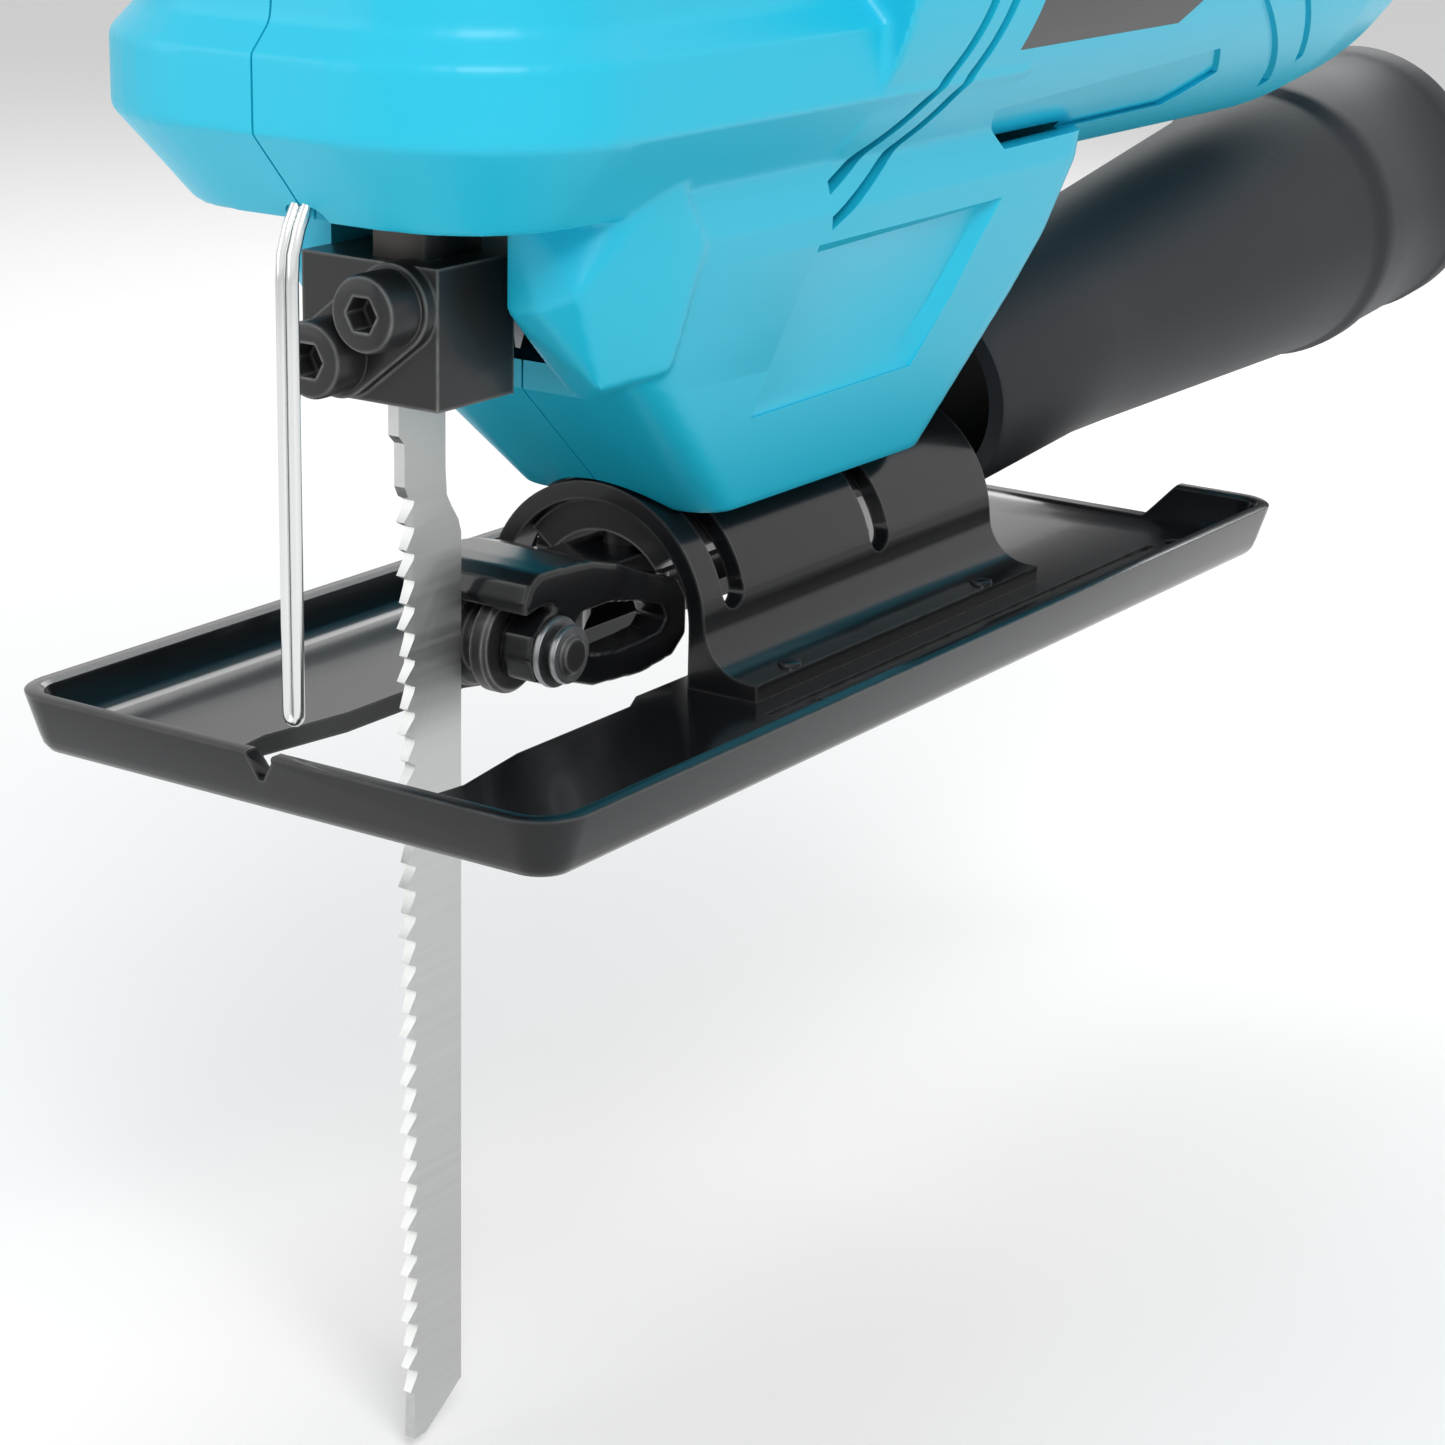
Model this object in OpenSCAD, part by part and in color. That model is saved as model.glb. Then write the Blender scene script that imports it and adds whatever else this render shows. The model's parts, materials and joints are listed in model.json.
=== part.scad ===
// Corded jigsaw with a D-handle, a tilting pressed-steel base and a two-screw blade clamp.
// Frame: the blade line crosses the sole plane at the origin, -Y is the cutting direction, +Z is up.

/* [Base] */
// Width of the flat sole
sole_w = 59.6; // [54:0.2:70]
// Length of the sole, front edge to rear edge
sole_len = 139; // [125:1:150]
// Distance from the blade line to the front edge of the sole
sole_front = 21.8; // [20.5:0.1:24]
// Sheet thickness of the base plate
plate_t = 2; // [1.5:0.1:2.5]
// Height of the turned-up rims over the sole plane
rim_h = 6; // [5:0.2:7]
// How far the rims flare out
rim_flare = 1.7; // [1:0.1:2.5]
// Outer radius of the tilt saddle
saddle_r = 13; // [12:0.1:13.6]
// Sheet thickness of the tilt saddle
saddle_t = 1.8; // [1.2:0.1:2.2]
// Height of the tilt axis over the sole plane
tilt_z = 7.9; // [7:0.1:8.5]
// Length of the tilt saddle
saddle_len = 56; // [48:1:60]
// Half width of the blade cut-out in the plate
cutout_hw = 10; // [9:0.2:12]

/* [Blade and clamp] */
// Width of the toothed part of the blade
blade_w = 8; // [6:0.2:9]
// Thickness of the blade
blade_t = 1.2; // [0.9:0.1:1.5]
// Depth of the blade tip below the sole
blade_reach = 70; // [50:1:90]
// Tooth pitch
tooth_pitch = 2.5; // [2:0.1:4]
// Stroke of the plunger
stroke = 18; // [12:1:18]
// Width of the blade clamp block
clamp_w = 15.3; // [14:0.1:16]
// Depth of the blade clamp block
clamp_d = 11; // [10:0.2:12]
// Height of the blade clamp block
clamp_h = 12.7; // [11:0.1:14]
// Diameter of the guard wire
wire_d = 1.1; // [0.9:0.1:1.3]

/* [Housing] */
// Half width of the head band
head_hw = 26; // [25:0.5:28]
// Wall thickness of the two housing shells
wall = 2.5; // [2:0.1:3]
// Outer radius of the motor barrel
barrel_r = 30; // [29.5:0.5:33]
// Thickness of the soft grip pads
grip_t = 2; // [1.5:0.1:2.5]
// Height of the handle's centre line over the sole
handle_z = 162; // [158:1:172]

/* [Drive] */
// Teeth of the drive gear
gear_teeth = 45; // [40:1:45]
// Teeth of the pinion
pinion_teeth = 7; // [6:1:7]
// Gear module
gear_module = 0.8; // [0.7:0.05:0.8]
// Radius of the armature core
core_r = 18; // [15:0.5:18]

/* [Dust tube] */
// Inner radius at the mouth of the dust tube
tube_bore_r = 16; // [15:0.5:17]
// Wall thickness of the dust tube
tube_wall = 2; // [1.6:0.1:2.4]
// Length of the dust tube
tube_len = 122; // [105:1:130]

/* [Hidden] */
$fn = 48;
eps = 0.01;
run = 0.1;                 // sliding and running clearance
fit = 0.2;                 // clearance between parts that are assembled
open = 0.4;                // gap at the opened crank pivot

// Base and saddle
sole_rear = sole_len - sole_front;
saddle_y0 = 26;
saddle_y1 = saddle_y0 + saddle_len;
saddle_in = saddle_r - saddle_t;
flange_x = saddle_r + 6.2;
flare_r = 4;
slot_w = 5.4;
slot_half = 66;
bolt_r = 2.5;
bolt_y = [saddle_y0 + 5.5, saddle_y0 + 33];
shoe_r = saddle_in - fit;
shoe_t = 3.2;
shoe_half = 52;
strap_z = [11.2, 14];         // carrier strap under the shoe
strap_hx = 4.3;
cutout_y1 = 18;

// Blade clamp and plunger
clamp_x1 = 5.8;
clamp_x0 = clamp_x1 - clamp_w;
clamp_y0 = -6;
clamp_y1 = clamp_y0 + clamp_d;
clamp_z0 = 34;
clamp_z1 = clamp_z0 + clamp_h;
bar_hx = 3;
bar_hy = 4.3;
bar_z0 = clamp_z1 - 8;
screw_head_r = 3.5;
screw_head_h = 4;
screw_r = 2;
screw_pos = [[1.7, 43], [-4.4, 38.2]];
screw_rise = 1.4;
neck_w = 7.1;
blade_top = clamp_z1 - 9;
wire_r = wire_d / 2;
wire_y = -19;
wire_z0 = 7.4;

// Head, leg and barrel
head_y0 = -23;
head_y1 = 62;
head_z0 = 51.5;
head_z1 = 104;
corner_r = 18;
motor_z = 75;
leg_z0 = 18.7;
barrel_y0 = 34;
barrel_y1 = 202;

// Drive train
gear_r = gear_teeth * gear_module / 2;
pinion_r = pinion_teeth * gear_module / 2;
gear_z = motor_z - gear_r - pinion_r;
crank_r = stroke / 2;
gear_y0 = 15;
gear_w = 6;
yoke_y0 = 5.9;
yoke_y1 = 9.9;
pin_r = 2.5;
yoke_z = gear_z + crank_r;
bar_z1 = yoke_z + 35;
guide_lo = [yoke_z - 7.5, yoke_z - 2];
guide_hi = [yoke_z + 9, yoke_z + 16];

// Guide roller
roller_r = 4.9;
roller_w = 6;
roller_pos = [blade_w / 2 + 0.3 + roller_r, 9.1];
axle_r = 2;
arm_hx = 5.4;

// Dust tube
tube_tilt = 5;
tube_y0 = saddle_y1 + 3.4;
tube_z0 = 19.6;
tube_front_r = 12.4;
tube_mouth_r = tube_bore_r + tube_wall;
tube_mouth_len = 30;

// Handle centre line: y, z, turn, half thickness, half width
handle = [
    [17, 96, 0, 22, 19],
    [15, handle_z - 38, 2, 19, 17],
    [19, handle_z - 16, -16, 18, 16.5],
    [36, handle_z, -55, 18, 16],
    [62, handle_z + 1, -92, 17, 16],
    [100, handle_z, -96, 16.5, 16],
    [140, handle_z - 6, -104, 16, 16],
    [169, handle_z - 19, -128, 15.5, 16],
    [185, handle_z - 43, -160, 14.5, 16.5],
    [183, handle_z - 80, -183, 12.4, 15.2]
];
grip_first = 4;
grip_last = 7;
trigger_y = 66;
trigger_z = handle_z - 16;
button_y = 74;
button_z = handle_z + 2;
gland_y = 198;
gland_z = 128;
gland_tilt = -35;
cord_r = 3.6;

// ---------- shared shapes ----------

// Turns a drawing in (y, z) into a body that is w wide, centred on x
module across(w) {
    rotate([90, 0, 90]) linear_extrude(w, center = true) children();
}

// Cylinder along Y from y0 to y1 at height z
module rod_y(r, y0, y1, z = 0, x = 0) {
    translate([x, y0, z]) rotate([-90, 0, 0]) cylinder(r = r, h = y1 - y0);
}

// Cylinder along X from x0 to x1
module rod_x(r, x0, x1, y, z) {
    translate([x0, y, z]) rotate([0, 90, 0]) cylinder(r = r, h = x1 - x0);
}

// Box between two corners
module block(a, b) {
    translate(a) cube(b - a);
}

// Ring along Y
module ring_y(r_out, r_in, y0, y1, z) {
    difference() {
        rod_y(r_out, y0, y1, z);
        rod_y(r_in, y0 - 1, y1 + 1, z);
    }
}

// Keeps the half with x > 0 (side 1) or x < 0 (side -1), gap from the joint face
module half(side, gap = 0.05) {
    intersection() {
        children();
        translate([side > 0 ? gap : -80 - gap, -100, -100]) cube([80, 400, 400]);
    }
}

// Body skinned over rings that all have the same number of points
module loft(rings) {
    n = len(rings[0]);
    m = len(rings);
    polyhedron(
        points = [for (ring = rings) each ring],
        faces = concat(
            [[for (i = [0 : n - 1]) i]],
            [for (j = [0 : m - 2], i = [0 : n - 1]) let (a = j * n + i, b = j * n + (i + 1) % n)
                each [[a, b + n, b], [a, a + n, b + n]]],
            [[for (i = [n - 1 : -1 : 0]) (m - 1) * n + i]]
        )
    );
}

// Points of a rounded rectangle, counter-clockwise: half sizes hx, hy, corner radius r, k steps a corner
function round_rect(hx, hy, r, k = 3) = [
    for (c = [[1, -1, -90], [1, 1, 0], [-1, 1, 90], [-1, -1, 180]], i = [0 : k])
        [c[0] * (hx - r) + r * cos(c[2] + 90 * i / k), c[1] * (hy - r) + r * sin(c[2] + 90 * i / k)]
];

// Bullet-shaped plan of the head at height z, drawn in by d
function head_ring(z, d) = [
    for (p = concat(
        [[head_hw - d, head_y1 - d], [-head_hw + d, head_y1 - d]],
        [for (a = [180 : 15 : 270]) [-head_hw + corner_r + (corner_r - d) * cos(a),
            head_y0 + corner_r + (corner_r - d) * sin(a)]],
        [for (a = [270 : 15 : 360]) [head_hw - corner_r + (corner_r - d) * cos(a),
            head_y0 + corner_r + (corner_r - d) * sin(a)]]
    )) [p[0], p[1], z]
];

// Rounded plan of the leg at height z
function leg_ring(z, y0, y1, hw, d) = [
    for (p = round_rect(hw - d, (y1 - y0) / 2 - d, max(4 - d, 1))) [p[0], p[1] + (y0 + y1) / 2, z]
];

// One ring of the handle, drawn in by d and shifted by t along the handle
function handle_ring(i, d, t = 0) =
    let (s = handle[i])
    [for (p = round_rect(s[4] - d, s[3] - d, 9 - d, 4))
        [p[0], s[0] + p[1] * cos(s[2]) - t * sin(s[2]), s[1] + p[1] * sin(s[2]) + t * cos(s[2])]];

// The handle with the band for the grip pads sunk by their thickness
module handle_solid(d) {
    loft([
        for (i = [0 : grip_first]) handle_ring(i, d),
        for (i = [grip_first : grip_last]) handle_ring(i, d + grip_t),
        for (i = [grip_last : len(handle) - 1]) handle_ring(i, d)
    ]);
}

// Ring i carried on in a straight line away from ring j, by the share k of their distance
function ring_beyond(i, j, d, k) =
    let (a = handle_ring(i, d), b = handle_ring(j, d))
    [for (n = [0 : len(a) - 1]) a[n] + (a[n] - b[n]) * k];

// The band of the handle that the grip pads cover, drawn in by d; k above 0 carries both ends on
module grip_band(d, k = 0) {
    loft([
        ring_beyond(grip_first, grip_first + 1, d, k),
        for (i = [grip_first + 1 : grip_last - 1]) handle_ring(i, d),
        ring_beyond(grip_last, grip_last - 1, d, k)
    ]);
}

// ---------- housing ----------

module head_solid(d) {
    z = head_z0;
    loft([
        head_ring(z + d, 7 + d), head_ring(z + 3.5 + d / 2, 4 + d), head_ring(z + 8, d),
        head_ring(z + 14.5, d), head_ring(z + 17, 2.4 + d), head_ring(head_z1 - 16, 4 + d),
        head_ring(head_z1 - d, 13 + d / 2)
    ]);
}

module leg_solid(d) {
    loft([
        leg_ring(leg_z0 + d, 28.5, 69.2, 12.2, d),
        leg_ring(34, 12, 82, 15.8, d),
        leg_ring(40, 8.5, 85.5, 17.5, d),
        leg_ring(48, 7, 87, 20, d),
        leg_ring(60 - d, 6, 88, 21, d)
    ]);
}

module barrel_solid(d) {
    r = barrel_r - d;
    translate([0, 0, motor_z]) rotate([-90, 0, 0]) rotate_extrude($fn = 64) polygon([
        [0, barrel_y0 + d], [r, barrel_y0 + d], [r, 144], [r - 1.4, 156], [r - 5, 170],
        [r - 10.5, 184], [r - 15.5, 193], [r - 20, barrel_y1 - d], [0, barrel_y1 - d]
    ]);
}

// Faceted pad beside the plunger window
module window_pad(side) {
    facets = [
        [9.35, -1, 53.5], [9.35, -1, 42.6], [9.35, 7.6, 34.6], [13, -1.4, 43.2], [15.5, 2, 53.5],
        [18.6, 4.5, 55], [21.4, 8, 55], [20.4, 14, 48], [17.3, 13.4, 36.2], [15, 5.4, 35.4],
        [16.8, -0.6, 45], [11.4, 8.4, 33.4], [9.35, 18, 55], [9.35, 18, 34]
    ];
    mirror([side > 0 ? 0 : 1, 0, 0]) hull() {
        for (p = facets) translate(p) cube(eps);
    }
}

module housing_solid(d) {
    head_solid(d);
    leg_solid(d);
    barrel_solid(d);
    handle_solid(d);
}

// Curved vent slot beside the head, an arc about the drive axis
module vent_arc(r, w, a0, a1) {
    translate([0, 22, 76]) rotate([90, 0, 90]) linear_extrude(90, center = true)
        polygon(concat(
            [for (a = [a0 : 4 : a1]) [(r + w) * cos(a), (r + w) * sin(a)]],
            [for (a = [a1 : -4 : a0]) [r * cos(a), r * sin(a)]]
        ));
}

module rear_vents() {
    for (i = [0 : 5]) translate([0, 153 + 6 * i, motor_z - 14])
        cube([90, 2.4, 28 - 2.4 * i], center = false);
}

module side_recess(side) {
    points = [[34, 45], [70, 45.4], [65, 35.5], [60, 28.8], [31, 28.4]];
    lean = atan2(20 - 12.2, 48 - leg_z0);
    translate([side * (12.2 - 1 + 0.2), 0, leg_z0]) rotate([0, side * lean, 0])
        translate([side * 1.2, 0, -leg_z0])
        translate([side > 0 ? 0 : -8, 0, 0]) rotate([90, 0, 90]) linear_extrude(8)
            offset(r = 2, $fn = 16) offset(delta = -2) polygon(points);
}

module window_cut() {
    block([-9.2, -9.5, head_z0 - 4], [9.2, 12, head_z0 + 7]);
    block([clamp_x0 - 0.9, -12, 30], [8.2, 14, head_z0 + 4]);
}

screw_bosses = [
    [-8, 92], [40, 37], [66, 38], [108, 48], [29, 148], [118, 158.5], [187, 108], [172, 60], [122, 102]
];
boss_r = 4;

module housing_half(side) {
    union() half(side) difference() {
        union() {
            difference() {
                housing_solid(0);
                housing_solid(wall);
                window_cut();
                for (s = [-1, 1]) vent_arc(r = s > 0 ? 31.5 : 27.5, w = 1.6, a0 = -64, a1 = -8);
                mirror([side > 0 ? 0 : 1, 0, 0]) rear_vents();
            }
            for (s = [-1, 1]) window_pad(s);
            intersection() {
                housing_solid(0.6);
                union() {
                    for (b = screw_bosses) rod_x(boss_r, -26, 26, b[0], b[1], $fn = 20);
                    bearing_ribs();
                }
            }
        }
        // tilt saddle groove, nut plate pocket and bolt holes
        rod_y(saddle_r + 0.3, 0, 100, tilt_z);
        nut_plate_shape(fit);
        for (y = bolt_y) translate([0, y, tilt_z]) cylinder(r = bolt_r + fit, h = 26, $fn = 24);
        for (b = screw_bosses) rod_x(1.55, -40, 8, b[0], b[1], $fn = 16);
        for (b = screw_bosses) rod_x(3.4, -60, -9.35, b[0], b[1], $fn = 20);
        block([clamp_x0 - 0.7, -12, 28], [0, clamp_y1 + 0.9, clamp_z1 + 1]);
        // openings for the trigger, button, gland and drive
        trigger_pocket();
        button_pocket();
        gland_shape(fit);
        label_shape(side, 0.05);
        side_recess(side);
        drive_clearance();
        tube_socket(fit);
        wire_shape(wire_r + 0.15);
    }
}

// Ribs that carry the bearings, the stator, the guides, the gear case and the switch
module bearing_ribs() {
    for (y = [59, 98.1]) ring_y(barrel_r - 1, 26.4, y, y + 3, motor_z);
    for (y = [134, 139.5]) ring_y(barrel_r - 1, 14.1, y, y + 2.5, motor_z);
    ring_y(barrel_r - 1, 17.1, 27.5, 30.5, motor_z);
    for (z = [guide_lo, guide_hi]) block([-25, -16, z[0] + 1], [25, 7, z[1] - 1]);
    for (y = [trigger_y - 12, trigger_y + 14]) block([-15, y, 152], [15, y + 3, 175]);
    block([-15, 93.5, 150], [15, 96.5, 175]);
    block([-15, 179, 106], [15, 187, 117.9]);
}

// Room for the moving drive parts and the metal gear case
module drive_clearance() {
    rod_y(gear_r + 2, gear_y0 - 1, gear_y0 + gear_w + 2, gear_z);
    block([-16, yoke_y0 - 1.2, 38], [16, gear_y0, yoke_z + 8]);
    gear_case_shape(fit);
    block([-bar_hx - 1, -bar_hy - 1, 30], [bar_hx + 1, yoke_y0, bar_z1 + 2]);
    guide_shape(guide_lo, 0.05);
    guide_shape(guide_hi, 0.05);
    switch_shape(0.1);
    block([-8.1, trigger_y + 21.9, trigger_z + 11.9], [8.1, trigger_y + 44.1, trigger_z + 13.7]);
}

module left_housing() {
    color("darkturquoise") housing_half(1);
}

module right_housing() {
    color("darkturquoise") housing_half(-1);
}

module grip_pad(side) {
    union() half(side) difference() {
        grip_band(0);
        grip_band(grip_t - 0.05, 0.06);
        trigger_pocket();
        button_pocket();
        rod_x(3.6, -60, -9, 118, 158.5, $fn = 20);
    }
}

module left_grip_pad() {
    color("#26282b") grip_pad(1);
}

module right_grip_pad() {
    color("#26282b") grip_pad(-1);
}

module housing_screws() {
    color("#3a3a3c") for (b = screw_bosses) {
        rod_x(3.1, -9.4 - 2.4, -9.4, b[0], b[1]);
        rod_x(1.5, -9.4, 7, b[0], b[1]);
    }
}

// Label panel on the side of the barrel, left bare
module label_shape(side, grow) {
    points = [[58, 62], [92, 62], [99, 66], [99, 86], [64, 86]];
    translate([side > 0 ? barrel_r - 3.2 : -barrel_r - 3.2, 0, 0]) rotate([90, 0, 90])
        linear_extrude(6.4) offset(delta = grow) polygon(points);
}

module label_plate(side) {
    union() intersection() {
        label_shape(side, -0.1);
        difference() {
            rod_y(barrel_r - 0.3, 50, 110, motor_z, $fn = 64);
            rod_y(barrel_r - 1, 49, 111, motor_z, $fn = 64);
        }
    }
}

module left_label_plate() {
    color("#3b3b3d") label_plate(1);
}

module right_label_plate() {
    color("#3b3b3d") label_plate(-1);
}

// ---------- plunger guides and gear case ----------

module guide_shape(z, grow) {
    block([-8 - grow, -9 - grow, z[0] - grow], [8 + grow, bar_hy + 0.9 + grow, z[1] + grow]);
}

module bar_shape(grow) {
    block([-bar_hx - grow, -bar_hy - grow, bar_z0], [bar_hx + grow, bar_hy + grow, bar_z1]);
}

module lower_plunger_guide() {
    color("peru") difference() {
        guide_shape(guide_lo, 0);
        bar_shape(run);
        block([-bar_hx - run, 0, 30], [bar_hx + run, 12, 99]);
    }
}

module upper_plunger_guide() {
    color("peru") difference() {
        guide_shape(guide_hi, 0);
        bar_shape(run);
    }
}

module gear_case_shape(grow) {
    rod_y(17 + grow, 24 - grow, 36 + grow, motor_z);
    rod_y(9 + grow, 24 - grow, 34 + grow, gear_z);
    block([-9 - grow, 24 - grow, gear_z], [9 + grow, 34 + grow, motor_z]);
}

module gear_case() {
    color("silver") difference() {
        gear_case_shape(0);
        rod_y(11 + 0.02, 27, 40, motor_z);
        rod_y(7, 20, 40, motor_z);
        rod_y(4 + 0.02, 20, 31, gear_z);
    }
}

module bearing(r_out, r_in, y0, y1) {
    difference() {
        rod_y(r_out, y0, y1, motor_z);
        rod_y(r_in, y0 - 1, y1 + 1, motor_z);
        ring_y(r_out - 2, r_in + 1.8, y0 - 1, y0 + 0.6, motor_z);
        ring_y(r_out - 2, r_in + 1.8, y1 - 0.6, y1 + 1, motor_z);
    }
}

module front_bearing() {
    color("lightsteelblue") bearing(11, 4.05, 27.1, 34);
}

module rear_bearing() {
    color("lightsteelblue") bearing(11, 4.05, 134.5, 141.5);
}

module rear_bearing_sleeve() {
    color("#222222") difference() {
        rod_y(14, 132.5, 143.5, motor_z);
        rod_y(11.05, 134.5, 145, motor_z);
        rod_y(8, 130, 150, motor_z);
    }
}

// ---------- motor ----------

stator_y = [63.1, 97.9];
core_y = [64, 97];
gap_r = core_r + 0.5;

module motor_stator() {
    color("#8a8a8a") difference() {
        rod_y(27, stator_y[0], stator_y[1], motor_z);
        rod_y(gap_r, 50, 110, motor_z);
        for (s = [-1, 1]) translate([s * 21.5, 0, 0]) rod_y(3.4, 50, 110, motor_z + 8);
        for (s = [-1, 1]) translate([s * 21.5, 0, 0]) rod_y(3.4, 50, 110, motor_z - 8);
    }
}

module stator_coils() {
    color("#b5651d") for (s = [-1, 1], t = [-1, 1]) {
        translate([s * 21.5, 0, 0]) rod_y(3.2, stator_y[0] - 7, stator_y[1] + 7, motor_z + t * 8);
    }
}

module brush_holders() {
    color("#a98b3a") for (s = [-1, 1]) difference() {
        block([min(s * 12.6, s * 26.6), 112, motor_z - 5], [max(s * 12.6, s * 26.6), 122, motor_z + 5]);
        block([min(s * 10, s * 24.5), 113.4, motor_z - 3.4], [max(s * 10, s * 24.5), 120.6, motor_z + 3.4]);
    }
}

module carbon_brushes() {
    color("#222222") for (s = [-1, 1])
        block([min(s * 11.3, s * 19), 113.5, motor_z - 3.3], [max(s * 11.2, s * 19), 120.5, motor_z + 3.3]);
}

module brush_springs() {
    color("silver") for (s = [-1, 1])
        rod_x(2, min(s * 19.1, s * 24.4), max(s * 19.1, s * 24.4), 117, motor_z);
}

module fan_baffle() {
    color("#303234") difference() {
        rod_y(27.2, 51.2, 53.2, motor_z);
        rod_y(20, 50, 55, motor_z);
    }
}

module armature_shaft() {
    color("silver") union() {
        rod_y(4, gear_y0 + gear_w + 2.5, 143, motor_z);
        gear_shape(pinion_teeth, gear_y0 - 0.5, gear_y0 + gear_w + 2.6, motor_z, 180 / pinion_teeth - 90);
    }
}

// Spur gear along Y; turn is the angle of a tooth from +X
module gear_shape(teeth, y0, y1, z, turn) {
    pitch = teeth * gear_module / 2;
    tip = pitch + 0.75 * gear_module;
    root = pitch - 1.15 * gear_module;
    half_root = 0.26 * 360 / teeth;
    half_tip = 0.1 * 360 / teeth;
    translate([0, y1, z]) rotate([90, 0, 0]) linear_extrude(y1 - y0) polygon([
        for (k = [0 : teeth - 1], s = [0 : 3])
            let (a = turn + 360 * k / teeth + [-half_root, -half_tip, half_tip, half_root][s],
                 r = [root, tip, tip, root][s])
            [r * cos(a), r * sin(a)]
    ]);
}

module armature_core() {
    color("#77797c") difference() {
        rod_y(core_r, core_y[0], core_y[1], motor_z);
        rod_y(4.02, 50, 110, motor_z);
        for (a = [0 : 30 : 330]) translate([0, 0, motor_z]) rotate([0, a, 0])
            block([core_r - 5, core_y[0] - 1, -1.3], [core_r + 1, core_y[1] + 1, 1.3]);
    }
}

module armature_windings() {
    color("#b5651d") {
        ring_y(core_r - 3, 6, core_y[0] - 7, core_y[0] - 0.05, motor_z);
        ring_y(core_r - 3, 6, core_y[1] + 0.05, core_y[1] + 7, motor_z);
    }
}

module commutator() {
    color("#c07a3a") difference() {
        rod_y(11, 110, 125, motor_z);
        rod_y(4.02, 100, 130, motor_z);
        for (a = [0 : 30 : 330]) translate([0, 0, motor_z]) rotate([0, a + 15, 0])
            block([10, 109, -0.3], [12, 126, 0.3]);
    }
}

module cooling_fan() {
    color("#2b2d30") difference() {
        union() {
            rod_y(9, 41, 50, motor_z);
            rod_y(24, 41, 42.6, motor_z);
            for (a = [0 : 30 : 330]) translate([0, 0, motor_z]) rotate([0, a, 0])
                block([8, 42, -0.7], [23.6, 50, 0.7]);
        }
        rod_y(4.02, 39, 52, motor_z);
    }
}

// ---------- gear, crank and plunger ----------

module gear_axle() {
    color("silver") rod_y(4, gear_y0 - 0.4, 30.9, gear_z);
}

module drive_gear() {
    color("#9b9da0") difference() {
        gear_shape(gear_teeth, gear_y0, gear_y0 + gear_w, gear_z, 90);
        rod_y(4.06, 0, 40, gear_z);
        rod_y(pin_r, 0, 40, gear_z + crank_r);
        for (a = [-40, -90, -140]) translate([0, 0, gear_z]) rotate([0, -a, 0]) rod_y(2.6, 0, 40, 0, 10.5);
    }
}

module balance_weight() {
    color("#707276") difference() {
        rod_y(15.6, gear_y0 - 2, gear_y0 - 0.02, gear_z);
        block([-20, 0, gear_z - 3], [20, 30, gear_z + 30]);
        rod_y(5, 0, 40, gear_z);
    }
}

module crank_pin() {
    color("silver") rod_y(pin_r - 0.01, yoke_y1 + open, gear_y0 + gear_w, gear_z + crank_r);
}

module plunger_bar() {
    color("#55585c") difference() {
        bar_shape(0);
        for (z = [yoke_z - 2.6, yoke_z + 2.6]) rod_y(1.25, -10, 10, z);
    }
}

module plunger_yoke() {
    color("#8b8d91") difference() {
        union() {
            block([-15, yoke_y0, yoke_z - 6.5], [15, yoke_y1, yoke_z + 6.5]);
            block([-bar_hx, bar_hy + 0.02, yoke_z - 5], [bar_hx, yoke_y0, yoke_z + 5]);
        }
        block([-crank_r - pin_r - 0.3, yoke_y0 + 1.6, yoke_z - pin_r - 0.05],
            [crank_r + pin_r + 0.3, yoke_y1 + 1, yoke_z + pin_r + 0.05]);
        for (z = [yoke_z - 2.6, yoke_z + 2.6]) rod_y(1.25, -10, yoke_y0 + 1.2, z);
    }
}

module yoke_rivets() {
    color("silver") for (z = [yoke_z - 2.6, yoke_z + 2.6]) rod_y(1.24, -bar_hy, yoke_y0 + 1.1, z);
}

module clamp_block() {
    color("#2c2e30") difference() {
        union() {
            block([clamp_x0, clamp_y0, clamp_z0], [clamp_x1, clamp_y1, clamp_z1]);
            hull() for (i = [0, 1]) translate([screw_pos[i][0], 0, screw_pos[i][1]]) rotate([90, 0, 0])
                cylinder(r = 4, h = -clamp_y0 + screw_rise, $fn = 32);
        }
        bar_shape(0.01);
        translate([0, 0, clamp_z0 - 1])
            block([-blade_t / 2 - 0.02, -5.2, 0],
                [blade_t / 2 + 0.02, clamp_y1 + 1, blade_top - clamp_z0 + 1.2]);
        for (i = [0, 1]) rod_y(screw_r, -20, clamp_y0 + 0.7 + 0.01, screw_pos[i][1], screw_pos[i][0]);
    }
}

module cap_screw(i) {
    y = clamp_y0 - screw_rise;
    x = screw_pos[i][0];
    z = screw_pos[i][1];
    difference() {
        union() {
            rod_y(screw_head_r, y - screw_head_h, y - 0.01, z, x);
            rod_y(screw_r - 0.01, y - 0.02, clamp_y0 + 0.7, z, x);
        }
        translate([x, y - screw_head_h + 2, z]) rotate([90, 30 * i, 0]) cylinder(r = 1.73, h = 4, $fn = 6);
    }
}

module clamp_screws() {
    color("#1f2022") for (i = [0, 1]) cap_screw(i);
}

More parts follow.
